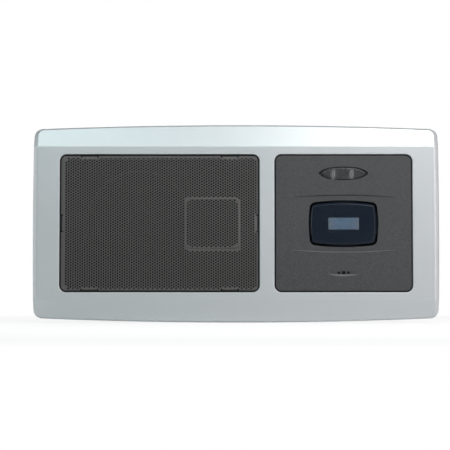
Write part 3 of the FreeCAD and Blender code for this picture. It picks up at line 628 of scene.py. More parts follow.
class Former:
    """Shapes one mesh in millimetres and finishes it as a piece."""

    def __init__(self) -> None:
        """Starts with nothing."""
        self.bm = bmesh.new()

    def rounded(self, geometry: Sequence, reach: float, steps: int = 2, affect: str = "EDGES") -> None:
        """Rounds edges or corners.

        Args:
            geometry: What is rounded.
            reach: How far the rounding reaches.
            steps: How many facets it has.
            affect: Whether "EDGES" or "VERTICES" are rounded.
        """
        bmesh.ops.bevel(
            self.bm, geom=geometry, offset=reach, offset_type="OFFSET", segments=steps, profile=0.5, affect=affect,
            material=-1, clamp_overlap=True,
        )

    def parted(self, faces: Iterable, place: Sequence[float], normal: Sequence[float]) -> list:
        """Cuts faces with a plane.

        Args:
            faces: The faces.
            place: A place on the plane.
            normal: What the plane is square to.

        Returns:
            The vertices, edges and faces after the cut.
        """
        geometry = [*faces, *{e for f in faces for e in f.edges}, *{v for f in faces for v in f.verts}]
        return bmesh.ops.bisect_plane(self.bm, geom=geometry, plane_co=place, plane_no=normal, dist=NEAR)["geom"]

    def moved(self, verts: Sequence[BMVert], by: Sequence[float]) -> None:
        """Moves vertices."""
        bmesh.ops.translate(self.bm, verts=verts, vec=by)

    def loop(self, outline: Outline, y: Height) -> Edges:
        """Draws an outline as a closed loop of edges.

        Args:
            outline: The outline.
            y: Its plane, or the Y of each place.

        Returns:
            The loop's edges.
        """
        half_x, half_z = outline.width / 2, outline.height / 2
        before = set(self.bm.edges)
        corners = bmesh.ops.create_grid(self.bm, x_segments=1, y_segments=1, size=1.0, matrix=FACE_ON)["verts"]
        for vert in corners:
            vert.co = (math.copysign(half_x, vert.co.x), 0.0, math.copysign(half_z, vert.co.z))
        if outline.radius > 0:
            self.rounded(corners, outline.radius, outline.corner_steps, "VERTICES")
        fresh = [edge for edge in self.bm.edges if edge not in before]
        bmesh.ops.delete(self.bm, geom=[fresh[0].link_faces[0]], context="FACES_ONLY")
        for cuts, axis, half in ((outline.cuts_x, 2, half_z), (outline.cuts_z, 0, half_x)):
            runs = [e for e in fresh if all(abs(v.co[axis]) > half - NEAR for v in e.verts)]
            if cuts and runs:
                bmesh.ops.subdivide_edges(self.bm, edges=runs, cuts=cuts, use_grid_fill=False)
        edges = [edge for edge in self.bm.edges if edge not in before]
        for vert in {vert for edge in edges for vert in edge.verts}:
            share_x, share_z = vert.co.x / half_x, vert.co.z / half_z
            vert.co.x *= 1 - outline.side_bow / half_x * share_z ** 2
            vert.co.z *= 1 - outline.end_fall / half_z * abs(share_x) ** outline.fall_power
            vert.co.x += outline.x
            vert.co.z += outline.z
            vert.co.y = y(vert.co.x, vert.co.z) if callable(y) else y
        return edges

    def circle(self, x: float, y: float, z: float, radius: float, sides: int) -> Edges:
        """Draws a circle about a Y axis and returns its edges."""
        matrix = Matrix.Translation((x, y, z)) @ FACE_ON
        made = bmesh.ops.create_circle(self.bm, cap_ends=False, radius=radius, segments=sides, matrix=matrix)
        return list({edge for vert in made["verts"] for edge in vert.link_edges})

    def bridged(self, loops: Sequence[Edges]) -> None:
        """Joins each loop to the next with a band of faces. Loops in one plane are held apart while they are joined.

        Args:
            loops: The loops, in their order.
        """
        apart = Vector((0, 0.02, 0))
        for first, second in zip(loops, loops[1:]):
            verts = list({vert for edge in second for vert in edge.verts})
            self.moved(verts, apart)
            bmesh.ops.bridge_loops(self.bm, edges=first + second)
            self.moved(verts, -apart)

    def skin(self, levels: Iterable[tuple[Outline, Height]], caps: bool = False) -> list[Edges]:
        """Joins outlines, each in its own plane, with bands of faces.

        Args:
            levels: The outlines and the Y of each.
            caps: Whether the first and the last are closed.

        Returns:
            The outlines' loops.
        """
        loops = [self.loop(outline, y) for outline, y in levels]
        self.bridged(loops)
        for loop in (loops[0], loops[-1]) if caps else ():
            bmesh.ops.edgeloop_fill(self.bm, edges=loop)
        return loops

    def sheet(self, *loops: Edges) -> list[BMFace]:
        """Fills the space between an outer loop and the loops inside it, and returns the new faces."""
        edges = [edge for loop in loops for edge in loop]
        made = bmesh.ops.triangle_fill(self.bm, use_beauty=True, use_dissolve=False, edges=edges, normal=(0, -1, 0))
        return only(made["geom"], BMFace)

    def sliced(self, faces: Iterable, axis: int, start: float, end: float, count: int) -> list[BMFace]:
        """Cuts faces with evenly spaced planes.

        Args:
            faces: The faces.
            axis: The axis that the planes are square to.
            start: Where the run of planes starts.
            end: Where it ends.
            count: How many strips there are between the two.

        Returns:
            The faces after the cuts.
        """
        faces = set(faces)
        normal = Vector((0, 0, 0))
        normal[axis] = 1.0
        for i in range(1, count):
            made = self.parted(faces, normal * (start + (end - start) * i / count), normal)
            faces = {face for face in only(made, BMFace) if face.is_valid}
        return list(faces)

    def plate(self, outline: Outline, front: float, back: float, soft: float, soft_back: float) -> None:
        """A closed plate between two planes, with rounded front and back edges.

        Args:
            outline: Its outline.
            front: The plane of its front.
            back: The plane of its back.
            soft: The radius of its front edge.
            soft_back: The radius of its back edge.
        """
        fronts = [(outline.grown(-reach), front + depth) for reach, depth in quarter_round(soft)]
        backs = [(outline.grown(-reach), back - depth) for reach, depth in quarter_round(soft_back, 2)]
        self.skin(fronts + backs[::-1], caps=True)

    def block(self, low: Sequence[float], high: Sequence[float], soft: float = 0.2) -> None:
        """A box between two corners with edges rounded to a radius.

        Args:
            low: Its lowest corner.
            high: Its highest corner.
            soft: The radius of its edges.
        """
        low, high = Vector(low), Vector(high)
        matrix = Matrix.Translation((low + high) / 2) @ Matrix.Diagonal((*(high - low), 1.0))
        corners = bmesh.ops.create_cube(self.bm, size=1.0, matrix=matrix)["verts"]
        self.rounded(list({edge for vert in corners for edge in vert.link_edges}), min(soft, min(high - low) / 3))

    def slab(
        self, x: float, z: float, width: float, height: float, front: float, back: float, soft: float = 0.2,
    ) -> None:
        """A box from its middle, its size across the face and its two planes."""
        self.block((x - width / 2, front, z - height / 2), (x + width / 2, back, z + height / 2), soft)

    def arms(self, reach: float, root: float, seat: float) -> None:
        """Four spring arms beside the panel's middle, whose noses hold what lies on a seat.

        Args:
            reach: How far their inner faces are from the panel's middle.
            root: The plane that they start from.
            seat: The plane that the noses hold.
        """
        thick, wide, nose, rooted, height = 1.5, 9.0, 1.2, 0.1, 24.0
        for side in (-1, 1):
            x = PANEL_X + side * reach
            for z in (-height, height):
                self.slab(x + side * thick / 2, z, thick, wide, root, seat + nose)
                self.slab(x - side * (nose / 2 - rooted), z, nose + 2 * rooted, wide, seat, seat + nose)

    def turned(self, profile: Sequence[Pair], centre: Sequence[float], steps: int = 64, upright: bool = False) -> None:
        """A body turned about a Y axis, or an upright one.

        Args:
            profile: Its radius and its height along the axis, point by point, from axis to axis or as a closed line.
            centre: The axis's foot.
            steps: How many facets it has.
            upright: Whether the axis is upright.
        """
        centre = Vector(centre)
        along = Vector((0, 0, 1)) if upright else Vector((0, 1, 0))
        verts = [self.bm.verts.new(centre + Vector((radius, 0, 0)) + along * height) for radius, height in profile]
        pairs = list(zip(verts, verts[1:]))
        if min(profile[0][0], profile[-1][0]) > 0:
            pairs.append((verts[-1], verts[0]))
        edges = [self.bm.edges.new(pair) for pair in pairs]
        before = set(self.bm.verts) - set(verts)
        bmesh.ops.spin(
            self.bm, geom=verts + edges, cent=centre, axis=along, dvec=(0, 0, 0), angle=2 * math.pi,
            steps=steps, use_merge=True, use_normal_flip=False, use_duplicate=False,
        )
        made = [vert for vert in self.bm.verts if vert not in before]
        bmesh.ops.remove_doubles(self.bm, verts=made, dist=NEAR)
        on_axis = [edge for edge in self.bm.edges if not edge.link_faces]
        bmesh.ops.delete(self.bm, geom=on_axis, context="EDGES")

    def strip(self, start: Vector, outward: Vector, along: Vector, line: Sequence[Pair]) -> None:
        """A bent strip, from the line of its side.

        Args:
            start: The foot of the line.
            outward: The way that the line's first numbers are measured. The second are its Y.
            along: The strip's width, as a way across the line.
            line: The closed line.
        """
        face = self.bm.faces.new([self.bm.verts.new(start + outward * out + Vector((0, y, 0))) for out, y in line])
        self.moved(only(bmesh.ops.extrude_face_region(self.bm, geom=[face])["geom"], BMVert), along)

    def cut(self, tool: "Former") -> None:
        """Takes the tool's body out of this one.

        Args:
            tool: What is cut away. It is used up.
        """
        for former in (self, tool):
            bmesh.ops.recalc_face_normals(former.bm, faces=former.bm.faces)
        worked, cutter = settled("worked", self.bm), settled("cutter", tool.bm)
        modifier = worked.modifiers.new("cut", "BOOLEAN")
        modifier.operation = "DIFFERENCE"
        modifier.solver = "EXACT"
        modifier.use_self = True
        modifier.object = cutter
        result = worked.evaluated_get(bpy.context.evaluated_depsgraph_get())
        self.bm = bmesh.new()
        self.bm.from_mesh(result.to_mesh())
        result.to_mesh_clear()
        for holder in (worked, cutter):
            mesh = holder.data
            bpy.data.objects.remove(holder)
            bpy.data.meshes.remove(mesh)

    def piece(
        self, name: str, finish: Finish, slot: str, node: str, body: Body = Body.STATION, sharp: float = 38.0,
    ) -> bpy.types.Object:
        """Finishes the mesh as a piece of the object.

        Args:
            name: The piece's name.
            finish: Its finish.
            slot: The record's material slot; not used.
            node: The solid that it stands for.
            body: The body that it rides on.
            sharp: The angle in degrees above which an edge shows as an edge.

        Returns:
            The piece.
        """
        bmesh.ops.recalc_face_normals(self.bm, faces=self.bm.faces)
        if self.bm.calc_volume(signed=True) < 0:
            bmesh.ops.reverse_faces(self.bm, faces=self.bm.faces)
        bmesh.ops.scale(self.bm, vec=(MM,) * 3, verts=self.bm.verts)
        piece = settled(name, self.bm)
        mesh = piece.data
        mesh.materials.append(finish.material())
        mesh.shade_smooth()
        mesh.set_sharp_from_angle(angle=math.radians(sharp))
        piece.modifiers.new("even_normals", "WEIGHTED_NORMAL").keep_sharp = True
        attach(piece, body.value)
        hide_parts(node)
        log.info("%s: %d faces, stands for %s", name, len(mesh.polygons), node)
        return piece


def softened_copy(node: str, soft: float, name: str, finish: Finish, slot: str) -> None:
    """Makes a piece from a copy of a solid, with its facets merged and its sharp edges rounded.

    Args:
        node: The solid's node.
        soft: The radius of its edges.
        name: The piece's name.
        finish: Its finish.
        slot: The record's material slot; not used.
    """
    former = Former()
    bm = former.bm
    bm.from_mesh(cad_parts[node].data)
    bmesh.ops.scale(bm, vec=(1 / MM,) * 3, verts=bm.verts)
    bmesh.ops.remove_doubles(bm, verts=bm.verts, dist=1e-3)
    flat = math.radians(0.5)
    bmesh.ops.dissolve_limit(bm, angle_limit=flat, use_dissolve_boundaries=False, verts=bm.verts, edges=bm.edges)
    sharp = math.radians(32)
    former.rounded([e for e in bm.edges if len(e.link_faces) == 2 and e.calc_face_angle(0.0) > sharp], soft)
    former.piece(name, finish, slot, node)


def dress(node: str, finish: Finish) -> None:
    """Gives a solid that stays its finish.

    Args:
        node: The solid's node.
        finish: Its finish.
    """
    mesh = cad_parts[node].data
    mesh.materials.clear()
    mesh.materials.append(finish.material())
    log.info("%s: dressed as it is", node)


# Shared planes of the station


@dataclass(frozen=True)
class Planes:
    """The Y planes that several pieces share."""

    face: float = -14.0
    face_back: float = -11.4
    sheet: float = -12.9
    ledge: float = -11.9
    baffle: float = -9.9
    baffle_back: float = -7.4
    speaker: float = -5.9
    panel: float = -13.7
    panel_back: float = -11.5
    panel_flange_back: float = -9.4
    keeper: float = -11.2
    button: float = -14.5
    button_inside: float = -12.8
    board: float = -4.5
    board_back: float = -2.9
    flange: float = -4.0
    rim: float = -2.0


Y = Planes()


# Face frame


@dataclass
class FaceFrame:
    """The silver face: a flat middle, two sloping bands and two windows."""

    width: float = 252.0
    height: float = 123.0
    end_drop: float = 2.7
    side_bow: float = 0.55
    corner: float = 5.0
    crease_span: float = 95.6
    slope: float = 4.0 / 13.7
    crease_half: float = 0.57
    side_bevel: Pair = (2.6, 1.6)
    long_bevel: Pair = (0.8, 0.8)
    side_wall: float = 3.0
    rim_wall: float = 1.3
    rib: float = 1.6
    rib_root: float = 1.3
    window_height: float = 85.6
    grille_window: float = 124.0
    panel_window: float = 85.6
    window_radius: float = 4.3
    window_soft: float = 0.55
    ledge: float = 3.0
    boss: float = 6.6
    boss_x: float = 116.0
    boss_z: float = 41.0
    arm_x: float = 46.0
    rib_x: float = 18.2
    lock_x: float = 70.0
    lock_y: float = -5.7
    lock_bore: float = 3.4
    lock_head_bore: float = 6.0
    lock_head_deep: float = 1.6
    lock_deep: float = 6.0
    slot_margin: float = 0.5
    slot_overlap: float = 0.25

    def fall(self, z: float) -> float:
        """How far the face has fallen back at a height, with a rounded crease.

        Args:
            z: The height.

        Returns:
            How far it has fallen.
        """
        beyond = abs(z) - self.crease_span / 2
        if beyond <= -self.crease_half:
            return 0.0
        if beyond >= self.crease_half:
            return self.slope * beyond
        return self.slope * (beyond + self.crease_half) ** 2 / (4 * self.crease_half)

    def outline(self) -> Outline:
        """The face's outline."""
        return Outline(0, 0, self.width, self.height, self.corner, self.end_drop, self.side_bow, 24, 12, 8)

    def window(self, x: float, width: float, cuts_x: int = 10, cuts_z: int = 8) -> Outline:
        """A window's outline."""
        return Outline(x, 0, width, self.window_height, self.window_radius, cuts_x=cuts_x, cuts_z=cuts_z)

    def edge_levels(self) -> list[tuple[Outline, Height]]:
        """The levels of the face's outer edge: a wide bevel at the sides, a narrow one along the top and bottom."""
        lines = []
        for reach, depth in (self.side_bevel, self.long_bevel):
            lines.append(softened([(reach * 1.35, 0.0), (reach, 0.0), (0.0, depth), (0.0, depth * 1.6)], 0.3, 3))
        levels = []
        for (in_x, back_x), (in_z, back_z) in zip(*lines):
            outline = self.outline().grown(-in_x, -in_z)
            edge = outline.width / 2

            def plane(x: float, z: float, edge: float = edge, side: float = back_x, long: float = back_z) -> float:
                """Mixes the sides' depth into that of the long edges over the corner."""
                share = min(max((abs(x) - edge + self.corner) / self.corner, 0.0), 1.0)
                return Y.face + long + (side - long) * share * share * (3 - 2 * share)

            levels.append((outline, plane))
        return levels

    def shell(self, former: Former) -> None:
        """The face, its walls and the pocket for the housing's flange, as one closed body.

        Args:
            former: The former that is shaped.
        """
        outline = self.outline()
        inner, pocket = outline.grown(-self.side_wall), outline.grown(-self.rim_wall)
        levels = [(outline, Y.rim), (pocket, Y.rim), (pocket, Y.flange), (inner, Y.flange), (inner, Y.face_back)]
        skins = [former.skin(self.edge_levels() + levels)]
        for x, width in ((GRILLE_X, self.grille_window), (PANEL_X, self.panel_window)):
            window = self.window(x, width)
            rims = [(window.grown(reach), Y.face + depth) for reach, depth in quarter_round(self.window_soft)]
            skins.append(former.skin(rims + [(window, Y.face_back)]))
        for end in (0, -1):
            former.sheet(*(skin[end] for skin in skins))
        half = self.crease_span / 2
        for side in (-1, 1):
            for z in (half - self.crease_half, half, half + self.crease_half):
                former.parted(former.bm.faces, (0, 0, side * z), (0, 0, 1))
        for vert in former.bm.verts:
            if vert.co.y < Y.flange - 1e-3:
                vert.co.y += self.fall(vert.co.z)

    def lock_holes(self) -> Former:
        """What is cut for the two lock screws, from below."""
        tool = Former()
        head, bore, low = self.lock_head_bore / 2, self.lock_bore / 2, -self.height / 2
        for x in (-self.lock_x, self.lock_x):
            seat = self.lock_head_deep + self.end_drop * (2 * x / self.width) ** 2 + low
            end = seat + self.lock_deep
            line = [(0, low - 5), (head, low - 5), (head, seat), (bore, seat), (bore, end), (0, end)]
            tool.turned(line, (x, self.lock_y, 0), 32, upright=True)
        return tool

    def tab_slots(self, tool: Former) -> None:
        """Adds the slots in the ledge that the grille's tabs and their reliefs open into.

        Args:
            tool: What will be cut.
        """
        grille = Grille()
        for place, side in grille.tabs():
            wide = side.across() * (grille.tab_width / 2 + grille.relief_width)
            inward = side.inward()
            corners = [place - wide - inward * self.slot_overlap, place + wide + inward * grille.relief_depth]
            low, high = (Vector(map(pick, *corners)) for pick in (min, max))
            low.y, high.y = Y.ledge - self.slot_margin, Y.baffle + self.slot_margin
            tool.block(low, high, 0.02)

    def build(self) -> None:
        """Builds the face frame."""
        former = Former()
        self.shell(former)
        ledge = self.window(GRILLE_X, self.grille_window, 4, 4)
        outer, inner = ledge.grown(self.ledge), ledge.grown(-self.ledge)
        ring = former.skin([(outer, Y.ledge), (outer, Y.baffle), (inner, Y.baffle), (inner, Y.ledge)])
        former.bridged([ring[-1], ring[0]])
        tool = self.lock_holes()
        self.tab_slots(tool)
        former.cut(tool)
        root = Y.face_back - self.rib_root
        former.slab(self.rib_x, 0, self.rib, self.window_height, root, Y.flange)
        for side in (-1, 1):
            wall, boss = side * (self.width / 2 - self.side_wall / 2), side * self.boss_x
            for z in (-self.boss_z, self.boss_z):
                former.slab(boss, z, self.boss, self.boss, root, Y.flange)
                former.slab((boss + wall) / 2, z, abs(wall - boss), self.rib, root, Y.flange)
        former.arms(self.arm_x, root, Y.panel_flange_back)
        former.piece("face_frame", SILVER, "silver_frame", "front_frame")


# Speaker grille


@dataclass
class Grille:
    """The formed and perforated sheet with its raised square and its six bent tabs."""

    width: float = 122.2
    height: float = 83.8
    radius: float = 3.4
    edge_roll: float = 0.55
    gap: float = 0.9
    sheet: float = 1.0
    pitch: float = 1.676
    hole_across: float = 1.2
    lattice_x: float = 0.085
    lattice_z: float = -0.06
    border_left: float = 2.3
    border_right: float = 0.6
    border_top: float = 0.6
    border_bottom: float = 0.45
    foot: Outline = Outline(-14.45, 0.0, 33.7, 31.5, 3.0, cuts_x=16, cuts_z=16)
    crown: Outline = Outline(-14.64, -0.015, 32.52, 30.33, 2.4, cuts_x=16, cuts_z=16)
    blank: Outline = Outline(-14.66, -0.48, 34.28, 32.64, 3.05)
    square_raise: float = 0.9
    tab_distance: float = 18.5
    tab_width: float = 9.4
    tab_reach: float = 5.0
    relief_width: float = 0.8
    relief_depth: float = 1.4

    def tabs(self) -> list[tuple[Vector, Side]]:
        """Where each tab leaves the sheet, and from which side."""
        half_x, half_z = self.width / 2, self.height / 2
        from_middle = half_x + self.gap - self.tab_distance
        places = [(-half_x, 0, Side.LEFT), (half_x, 0, Side.RIGHT)]
        for x in (-from_middle, from_middle):
            places += [(x, half_z, Side.TOP), (x, -half_z, Side.BOTTOM)]
        return [(Vector((GRILLE_X + x, 0, z)), side) for x, z, side in places]

    def is_perforated(self, cell: BMFace) -> bool:
        """Whether a cell lies in the perforated field, clear of the raised square's edge.

        Args:
            cell: The cell.

        Returns:
            Whether it is perforated.
        """
        corners = [(vert.co.x, vert.co.z) for vert in cell.verts]
        on_square = all(self.crown.away(x, z) < -0.02 for x, z in corners)
        off_square = all(self.blank.away(x, z) > -0.02 for x, z in corners)
        middle = cell.calc_center_median()
        hole, half_x, half_z = self.hole_across / 2, self.width / 2, self.height / 2
        low, high = hole + self.border_bottom - half_z, half_z - self.border_top - hole
        left, right = GRILLE_X - half_x + self.border_left + hole, GRILLE_X + half_x - self.border_right - hole
        field = Outline((left + right) / 2, (low + high) / 2, right - left, high - low, self.radius)
        return (on_square or off_square) and field.away(middle.x, middle.z) < 0.2

    def is_clear_of(self, tabs: Sequence[tuple[Vector, Side]], place: Vector) -> bool:
        """Whether a cell lies clear of the tabs' reliefs.

        Args:
            tabs: The tabs.
            place: The cell's middle.

        Returns:
            Whether it is clear of them all.
        """
        reach = 0.6 * self.pitch
        deep, wide = self.relief_depth + reach, self.tab_width / 2 + self.relief_width + reach
        return not any(
            side.inward().dot(place - tab) < deep and abs(side.across().dot(place - tab)) < wide for tab, side in tabs
        )

    def honeycomb(self, former: Former) -> list[BMFace]:
        """Lays out one six-sided cell for each hole and drops those outside the perforated field.

        Args:
            former: The former that is shaped.

        Returns:
            The cells that are left.
        """
        bm = former.bm
        step = self.pitch * math.cos(math.radians(30))
        columns, rows = int(self.width / 2 / step) + 1, int(self.height / 2 / self.pitch) + 1
        turn = FACE_ON @ Matrix.Rotation(math.radians(30), 4, "Z")
        radius = self.pitch / math.sqrt(3)
        cell = bmesh.ops.create_circle(bm, cap_ends=True, radius=radius, segments=6, matrix=turn)["verts"]
        former.moved(cell, (GRILLE_X + self.lattice_x - columns * step, Y.sheet, self.lattice_z - rows * self.pitch))
        column = list(cell[0].link_faces)
        for row in range(1, 2 * rows + 1):
            made = bmesh.ops.duplicate(bm, geom=column[:1])["geom"]
            former.moved(only(made, BMVert), (0, 0, row * self.pitch))
            column += only(made, BMFace)
        for number in range(1, 2 * columns + 1):
            made = bmesh.ops.duplicate(bm, geom=column)["geom"]
            former.moved(only(made, BMVert), (number * step, 0, self.pitch / 2 if number % 2 else 0.0))
        tabs = self.tabs()
        outside = [
            face for face in bm.faces
            if not (self.is_perforated(face) and self.is_clear_of(tabs, face.calc_center_median()))
        ]
        bmesh.ops.delete(bm, geom=outside, context="FACES")
        bmesh.ops.remove_doubles(bm, verts=bm.verts, dist=0.02)
        return list(bm.faces)

    def notched(self, former: Former, loop: Edges) -> Edges:
        """Cuts the relief at each tab into the sheet's outline.

        Args:
            former: The former that is shaped.
            loop: The sheet's outline.

        Returns:
            The new outline.
        """
        bm = former.bm
        half = self.tab_width / 2 + self.relief_width
        for place, side in self.tabs():
            across, inward = side.across(), side.inward()
            level, spot = inward.dot(place), across.dot(place)
            near = [e for e in loop if e.is_valid and all(abs(inward.dot(v.co) - level) < 0.01 for v in e.verts)]
            for end in (spot - half, spot + half):
                geometry = near + list({v for e in near for v in e.verts})
                made = bmesh.ops.bisect_plane(bm, geom=geometry, plane_co=across * end, plane_no=across, dist=NEAR)
                near = only(made["geom"], BMEdge)
            inside = [e for e in near if all(abs(across.dot(v.co) - spot) < half + 1e-3 for v in e.verts)]
            made = bmesh.ops.extrude_edge_only(bm, edges=inside)["geom"]
            former.moved(only(made, BMVert), inward * self.relief_depth)
            walls = only(made, BMFace)
            rungs = [e for e in {e for f in walls for e in f.edges} if len(e.link_faces) == 2]
            bmesh.ops.delete(bm, geom=walls, context="FACES_ONLY")
            bmesh.ops.delete(bm, geom=inside + rungs, context="EDGES")
        return [edge for edge in bm.edges if not edge.link_faces]

    def tab(self, former: Former, place: Vector, side: Side) -> None:
        """One tab: it bends back out of the sheet, passes the baffle and is turned in behind it.

        Args:
            former: The former that is shaped.
            place: Where it leaves the sheet.
            side: The side that it leaves from.
        """
        behind, bend, thick, reach = Y.baffle_back, self.relief_depth, self.sheet, self.tab_reach
        outside = [(bend, Y.sheet), (0.0, Y.sheet), (0.0, behind + thick), (reach, behind + thick)]
        inside = [(bend, Y.ledge), (thick, Y.ledge), (thick, behind), (reach, behind)]
        line = self.bent(outside, bend) + self.bent(inside, bend - thick)[::-1]
        along = side.across() * self.tab_width
        former.strip(place - along / 2, side.inward(), along, line)

    @staticmethod
    def bent(corners: Sequence[Pair], radius: float) -> list[Pair]:
        """Rounds the two bends of a tab's line to a radius.

        Args:
            corners: The line's points.
            radius: The radius.

        Returns:
            The rounded line's points.
        """
        line = []
        steps = 5
        for before, corner, after in zip(corners, corners[1:], corners[2:]):
            here = Vector(corner)
            start = here + (Vector(before) - here).normalized() * radius
            end = here + (Vector(after) - here).normalized() * radius
            centre = start + end - here
            for turn in (math.pi / 2 * i / steps for i in range(steps + 1)):
                line.append(tuple(centre + (start - centre) * math.cos(turn) + (end - centre) * math.sin(turn)))
        if (Vector(line[0]) - Vector(corners[0])).length > NEAR:
            line.insert(0, corners[0])
        return line + [corners[-1]]

    def build(self) -> None:
        """Builds the grille."""
        former = Former()
        bm = former.bm
        cells = self.honeycomb(former)
        outer_field, square_rim, island = [], [], []
        for edge in [edge for edge in bm.edges if edge.is_boundary]:
            middle = (edge.verts[0].co + edge.verts[1].co) / 2
            if self.foot.away(middle.x, middle.z) < 0:
                island.append(edge)
            else:
                (square_rim if self.blank.away(middle.x, middle.z) < 2 * self.pitch else outer_field).append(edge)
        outline = Outline(GRILLE_X, 0, self.width, self.height, self.radius, cuts_x=30, cuts_z=20)
        former.sheet(outer_field, self.notched(former, former.loop(outline, Y.sheet)))
        line = softened([(0.0, 0.0), (0.12, 0.0), (0.95, self.square_raise), (1.0, self.square_raise)], 0.3, 2)
        steps = former.skin([(self.foot.mixed(self.crown, share), Y.sheet - raised) for share, raised in line])
        former.sheet(square_rim, steps[0])
        for vert in {v for e in island for v in e.verts} | {v for f in cells for v in f.verts}:
            if self.foot.away(vert.co.x, vert.co.z) < 0:
                vert.co.y = Y.sheet - self.square_raise
        former.sheet(steps[-1], island)
        thickness = (self.pitch - self.hole_across) / 2
        bmesh.ops.inset_individual(bm, faces=cells, thickness=thickness, depth=0.0, use_even_offset=True)
        bmesh.ops.delete(bm, geom=cells, context="FACES_ONLY")
        for vert in bm.verts:
            from_rim = min(self.width / 2 - abs(vert.co.x - GRILLE_X), self.height / 2 - abs(vert.co.z))
            vert.co.y += self.edge_roll * max(1 - from_rim / self.edge_roll, 0.0) ** 2
        for vert in only(bmesh.ops.extrude_face_region(bm, geom=list(bm.faces))["geom"], BMVert):
            vert.co.y = Y.ledge - (self.square_raise if vert.co.y < Y.sheet - self.square_raise / 2 else 0.0)
        for place, side in self.tabs():
            self.tab(former, place, side)
        former.piece("speaker_grille_sheet", GRILLE_COAT, "black_grille", "speaker_grille", sharp=30.0)


# Control panel


@dataclass
class ControlPanel:
    """The dark textured panel with its two hollows, and the lens in it."""

    size: float = 84.0
    radius: float = 3.5
    soft: float = 0.45
    skirt: float = 1.8
    flange: float = 3.0
    scoop_width: float = 66.0
    scoop_top: float = 17.8
    scoop_bottom: float = 18.3
    scoop_drop: float = 1.7
    scoop_depth: float = 0.8
    scoop_slope: float = 0.7
    mic_z: float = -30.75
    mic_scoop_width: float = 19.2
    mic_scoop_rise: float = 1.5
    mic_scoop_lip: float = 2.2
    mic_scoop_depth: float = 0.8
    mic_lip_width: float = 1.3
    mic_spacing: float = 3.0
    mic_hole: float = 2.1
    mic_side_hole: float = 1.55
    lens_z: float = 30.95
    lens_width: float = 30.6
    lens_height: float = 8.3
    lens_tip: float = 0.75
    lens_corner: float = 2.2
    lens_gap: float = 0.7
    lens_tip_gap: float = 1.6
    lens_sink: float = 0.35
    lens_rim: Pair = (37.0, 11.0)
    lens_rim_thick: float = 1.0
    board: float = 72.0
    board_gap: float = 0.2
    fitting_root: float = 0.8
    post: float = 5.0
    post_inset: float = 4.0
    guide_clearance: float = 0.3
    guide_wall: float = 1.2
    guide_back: float = -8.4

    def lens_outline(self, grow: float = 0.0, grow_tips: float = 0.0, share: float = 1.0) -> Outline:
        """The lens's outline: two flat arcs that meet in rounded tips.

        Args:
            grow: How far its arcs go out.
            grow_tips: How far its tips go out.
            share: The share of its size that is drawn.

        Returns:
            The outline.
        """
        width, height = (self.lens_width + 2 * grow_tips) * share, (self.lens_height + 2 * grow) * share
        fall, corner = height / 2 - self.lens_tip * share, self.lens_corner * share
        return Outline(PANEL_X, self.lens_z, width, height, corner, fall, 0.0, 22, 0, 8, 3.0)

    def dip(self, x: float) -> float:
        """How deep the hollow round the button is, from its middle to its sides."""
        share = min(abs(x - PANEL_X) / (self.scoop_width / 2), 1.0)
        return self.scoop_depth * (1 - share ** 4)

    def nail_outline(self) -> Outline:
        """The outline of the microphone's hollow, before its lower edge is curved."""
        low, high = self.mic_z - self.mic_scoop_lip, self.mic_z + self.mic_scoop_rise
        return Outline(PANEL_X, (low + high) / 2, self.mic_scoop_width, high - low, cuts_x=20, cuts_z=3)

    def face(self, former: Former) -> None:
        """The front skin with its hollows and openings, and the walls behind it.

        Args:
            former: The former that is shaped.
        """
        bm = former.bm
        rise, height = (self.scoop_top - self.scoop_bottom) / 2, self.scoop_top + self.scoop_bottom
        scoop = Outline(PANEL_X, rise, self.scoop_width, height, end_fall=self.scoop_drop, cuts_x=32, cuts_z=10)
        button = CallButton()
        outlines = (scoop, self.nail_outline(), self.lens_outline(), button.outline().grown(button.gap))
        scoop_loop, nail_loop, lens_loop, button_loop = (former.loop(outline, Y.panel) for outline in outlines)
        low, high = self.mic_z - self.mic_scoop_lip, self.mic_z + self.mic_scoop_rise
        for vert in {v for e in nail_loop for v in e.verts}:
            share = (vert.co.x - PANEL_X) / (self.mic_scoop_width / 2)
            if vert.co.z < high - 1e-3:
                lift = self.mic_scoop_rise * share * share
                vert.co.z = high - (high - vert.co.z) / (high - low) * (high - low - lift)
        holes = [
            former.circle(PANEL_X + i * self.mic_spacing, Y.panel, self.mic_z, hole / 2, 20)
            for i, hole in ((-1, self.mic_side_hole), (0, self.mic_hole), (1, self.mic_side_hole))
        ]
        hollow = former.sheet(scoop_loop, button_loop)
        fingernail = former.sheet(nail_loop, *holes)
        body = Outline(PANEL_X, 0, self.size, self.size, self.radius, cuts_x=12, cuts_z=12)
        inner = Outline(PANEL_X, 0, self.size - 2 * self.skirt, self.size - 2 * self.skirt, 2.0, cuts_x=12, cuts_z=12)
        rim = body.grown((FaceFrame.panel_window - self.size) / 2 + self.flange)
        levels = [(body.grown(-reach), Y.panel + depth) for reach, depth in quarter_round(self.soft)]
        levels += [
            (body, Y.face_back), (rim, Y.face_back), (rim, Y.panel_flange_back),
            (inner, Y.panel_flange_back), (inner, Y.panel_back),
        ]
        loops = former.skin(levels)
        former.sheet(loops[0], scoop_loop, nail_loop, lens_loop)
        half = self.scoop_width / 2
        self.sunk(former, hollow, self.hollow_floor, (0, PANEL_X - half, PANEL_X + half, 28))
        self.sunk(former, fingernail, self.nail_floor, (2, low, high, 5))
        bmesh.ops.remove_doubles(bm, verts=bm.verts, dist=NEAR)
        openings = [e for e in bm.edges if e.is_boundary and e not in set(loops[-1])]
        made = bmesh.ops.extrude_edge_only(bm, edges=openings)["geom"]
        for vert in only(made, BMVert):
            vert.co.y = Y.panel_back
        backs = [e for e in only(made, BMEdge) if all(abs(v.co.y - Y.panel_back) < NEAR for v in e.verts)]
        former.sheet(loops[-1], backs)

